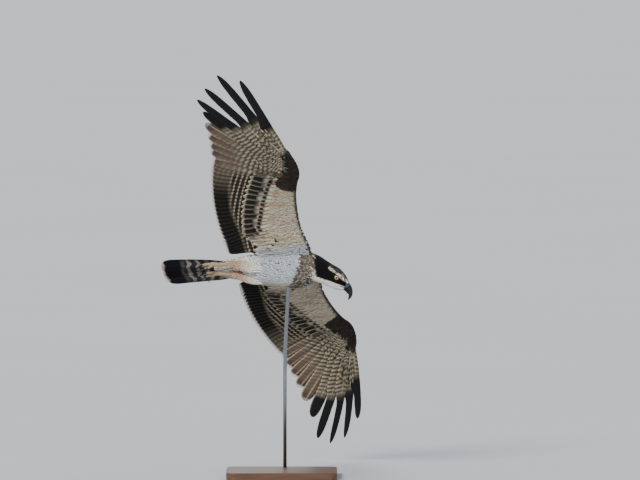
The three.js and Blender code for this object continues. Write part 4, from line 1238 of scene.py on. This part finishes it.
# Scaly skin of tarsus and toes: pale, warm grey plates with darker seams, matt
def scaleMaterial():
    material, tree, shader = newMaterial("scalySkin")
    place = objectPlace(tree)
    cells = addNode(tree, "TexVoronoi", {"feature": "DISTANCE_TO_EDGE"}, Vector=place, Scale=620.0)
    ranged = addNode(tree, "MapRange", None, Value=cells.outputs["Distance"], From_Max=0.18)
    seam = ranged.outputs["Result"]
    feed(tree, shader, Base_Color=toned(tree, seam, "5C4F3D", "A99877"),
         Normal=relief(tree, seam, 0.6, 0.0005), Roughness=0.6)
    return material


# Each toe by how far it turns aside and sinks, and its length
toePlan = {"inner": (-0.2, 0.2, 24.0), "middle": (0.02, 0.08, 30.0), "outer": (0.24, 0.2, 26.0),
           "hind": (0.05, 0.95, 17.0)}
clawPlan = {"length": 24.0, "thick": 2.9, "curl": 1.5}


# Tarsus, foot and claws of one leg
def makeFoot(label, leg, scales):
    ankle, pad = (np.array(leg[k], float) for k in ("ankle", "pad"))
    course = unit(pad - ankle)
    spread = np.array([0, leg["spread"], 0.0])
    down = np.array([0, 0, -1.0])
    t = np.linspace(-0.15, 1.06, 24)
    radii = np.interp(t, [-0.15, 0, 0.12, 0.5, 0.9, 1.06], [5.0, 5.2, 5.2, 4.6, 5.3, 5.4])
    shin = addTube(f"shin_{label}", limbRings(ankle + (pad - ankle) * t[:, None], radii), scales)
    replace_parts(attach(shin, "root"), f"tarsus_{label}")
    t = np.linspace(-1, 15.2, 14)
    radii = np.interp(t, [-1, 0, 4, 11, 15.2], [5.2, 5.6, 7.2, 6.8, 4.2])
    tubes = [addTube(f"toes_{label}", limbRings(pad + course * t[:, None], radii), scales)]
    for name, (aside, sink, length) in toePlan.items():
        way = unit(course + spread * aside + down * sink)
        root = pad + course * (5 if name == "hind" else 8) + spread * aside * 8
        t = np.linspace(0, 1, 28)[:, None]
        middles = root + way * t * length + down * 2.2 * t * t
        knuckles = 1 + 0.09 * np.cos(t[:, 0] * 2 * math.pi * (2 if name == "hind" else 3))
        radii = np.interp(t[:, 0], [0, 0.35, 0.7, 1], [4.4, 3.96, 3.78, 3.0]) * knuckles
        tubes.append(addTube("toe", limbRings(middles, radii, 14), scales))
        ahead = unit(middles[-1] - middles[-2])
        sinkWay = unit(down + ahead * ahead[2])
        radius = clawPlan["length"] / clawPlan["curl"]
        k = np.linspace(-0.12, 1, 26)[:, None] * clawPlan["curl"]
        hook = middles[-1] + ahead * radius * np.sin(k) + sinkWay * radius * (1 - np.cos(k))
        size = clawPlan["thick"] * (1 - 0.93 * np.clip(np.linspace(-0.12, 1, 26), 0, 1) ** 1.1)
        talon = addTube(f"talon_{label}_{name}", limbRings(hook, size, 14), clawHorn)
        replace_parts(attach(talon, "root"), f"claw_{label}_{name}")
    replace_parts(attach(joinPieces(tubes), "root"), f"foot_{label}")


scalySkin = scaleMaterial()
for label, leg in legPlan.items():
    makeFoot(label, leg, scalySkin)

print("stand and floor")


# Walnut base: dark, straight grained wood under satin varnish, its rings drawn as stretched noise
def woodMaterial():
    return grainMaterial("satinWalnut", (3.0, 6.0, (5.0, 60.0, 60.0)), "2A1A12", "6B4A33", 0.1, 0.0005,
                         Roughness=0.38)


# Brushed steel of the rod: fine scratches round it, a soft streaked gloss
def steelMaterial():
    material, tree, shader = newMaterial("brushedSteel")
    brush = noisePattern(tree, 2.0, 4.0, (40.0, 40.0, 900.0))
    feed(tree, shader, Base_Color=(*linear("8F9296"), 1), Metallic=1.0,
         Roughness=spread(tree, brush, 0.22, 0.42))
    return material


basePlan = {"long": 300.0, "wide": 230.0, "high": 20.0, "corner": 26.0, "edge": 2.2}


# The base: a rounded rectangle's outline drawn in at a small round over its top and bottom edges
def makeBase():
    corner, edge = basePlan["corner"], basePlan["edge"]
    a, b = basePlan["long"] / 2, basePlan["wide"] / 2
    turn = np.linspace(0, math.pi / 2, 9)
    outline = []
    for k, (sx, sy) in enumerate(((1, 1), (-1, 1), (-1, -1), (1, -1))):
        angle = turn + k * math.pi / 2
        x, y = sx * (a - corner) + corner * np.cos(angle), sy * (b - corner) + corner * np.sin(angle)
        outline.append(paired(x, y))
    outline = np.concatenate(outline)
    inward = -unit(outline - np.clip(outline, [-(a - corner), -(b - corner)], [a - corner, b - corner]))
    rings = []
    bend = np.linspace(0, math.pi / 2, 5)
    levels = [(edge * (1 - math.sin(t)), edge * (1 - math.cos(t))) for t in bend]
    for pull, z in [(p, z) for p, z in levels] + [(p, basePlan["high"] - z) for p, z in levels[::-1]]:
        flat = outline + inward * pull
        rings.append(np.concatenate([flat, np.full((len(flat), 1), z)], 1))
    base = addTube("base_board", np.array(rings) * mm, woodMaterial(), worldSpace=True)
    base.data.polygons.foreach_set("use_smooth", np.zeros(len(base.data.polygons), bool))
    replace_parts(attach(base, "root"), "stand_base")


rodPlan = {"thick": 10.0, "x": 8.0, "y": 92.0, "bend": 330.0, "inside": (-6.0, 4.0, 20.0),
           "curve": (0.2, 0.35)}


# The rod: straight up along the lowered wing's underside, one round bend, straight on into the left flank
def makeRod():
    end = toWorld(np.array([rodPlan["inside"]], float))[0] / mm
    foot = np.array([rodPlan["x"], rodPlan["y"], basePlan["high"]])
    knee = np.array([rodPlan["x"], rodPlan["y"], rodPlan["bend"]])
    start, finish = (between(knee, to, share) for to, share in zip((foot, end), rodPlan["curve"]))
    t = np.linspace(0, 1, 24)[:, None]
    curve = (1 - t) ** 2 * start + 2 * t * (1 - t) * knee + t**2 * finish
    path = np.concatenate([[foot], curve, [between(knee, end, 0.65), end]])
    rings = limbRings(path, np.full(len(path), rodPlan["thick"] / 2), 28) * mm
    rod = addTube("support_rod", rings, steelMaterial(), worldSpace=True)
    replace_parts(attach(rod, "root"), "stand_rod")


makeBase()
makeRod()


# Studio floor: pale matt paint with a faint mottle
def makeFloor():
    material, tree, shader = newMaterial("paleStudioFloor")
    mottle = toned(tree, noisePattern(tree, 0.6, 2.0), "A9AEB3", "AFB4B9")
    feed(tree, shader, Base_Color=mottle, Roughness=0.9)
    mesh = bpy.data.meshes.new("studioFloor")
    reach = 250.0
    corners = [(-reach, -reach, 0), (reach, -reach, 0), (reach, reach, 0), (-reach, reach, 0)]
    mesh.from_pydata(corners, [], [(0, 1, 2, 3)])
    addObject("studioFloor", mesh, material, smooth=False)


makeFloor()
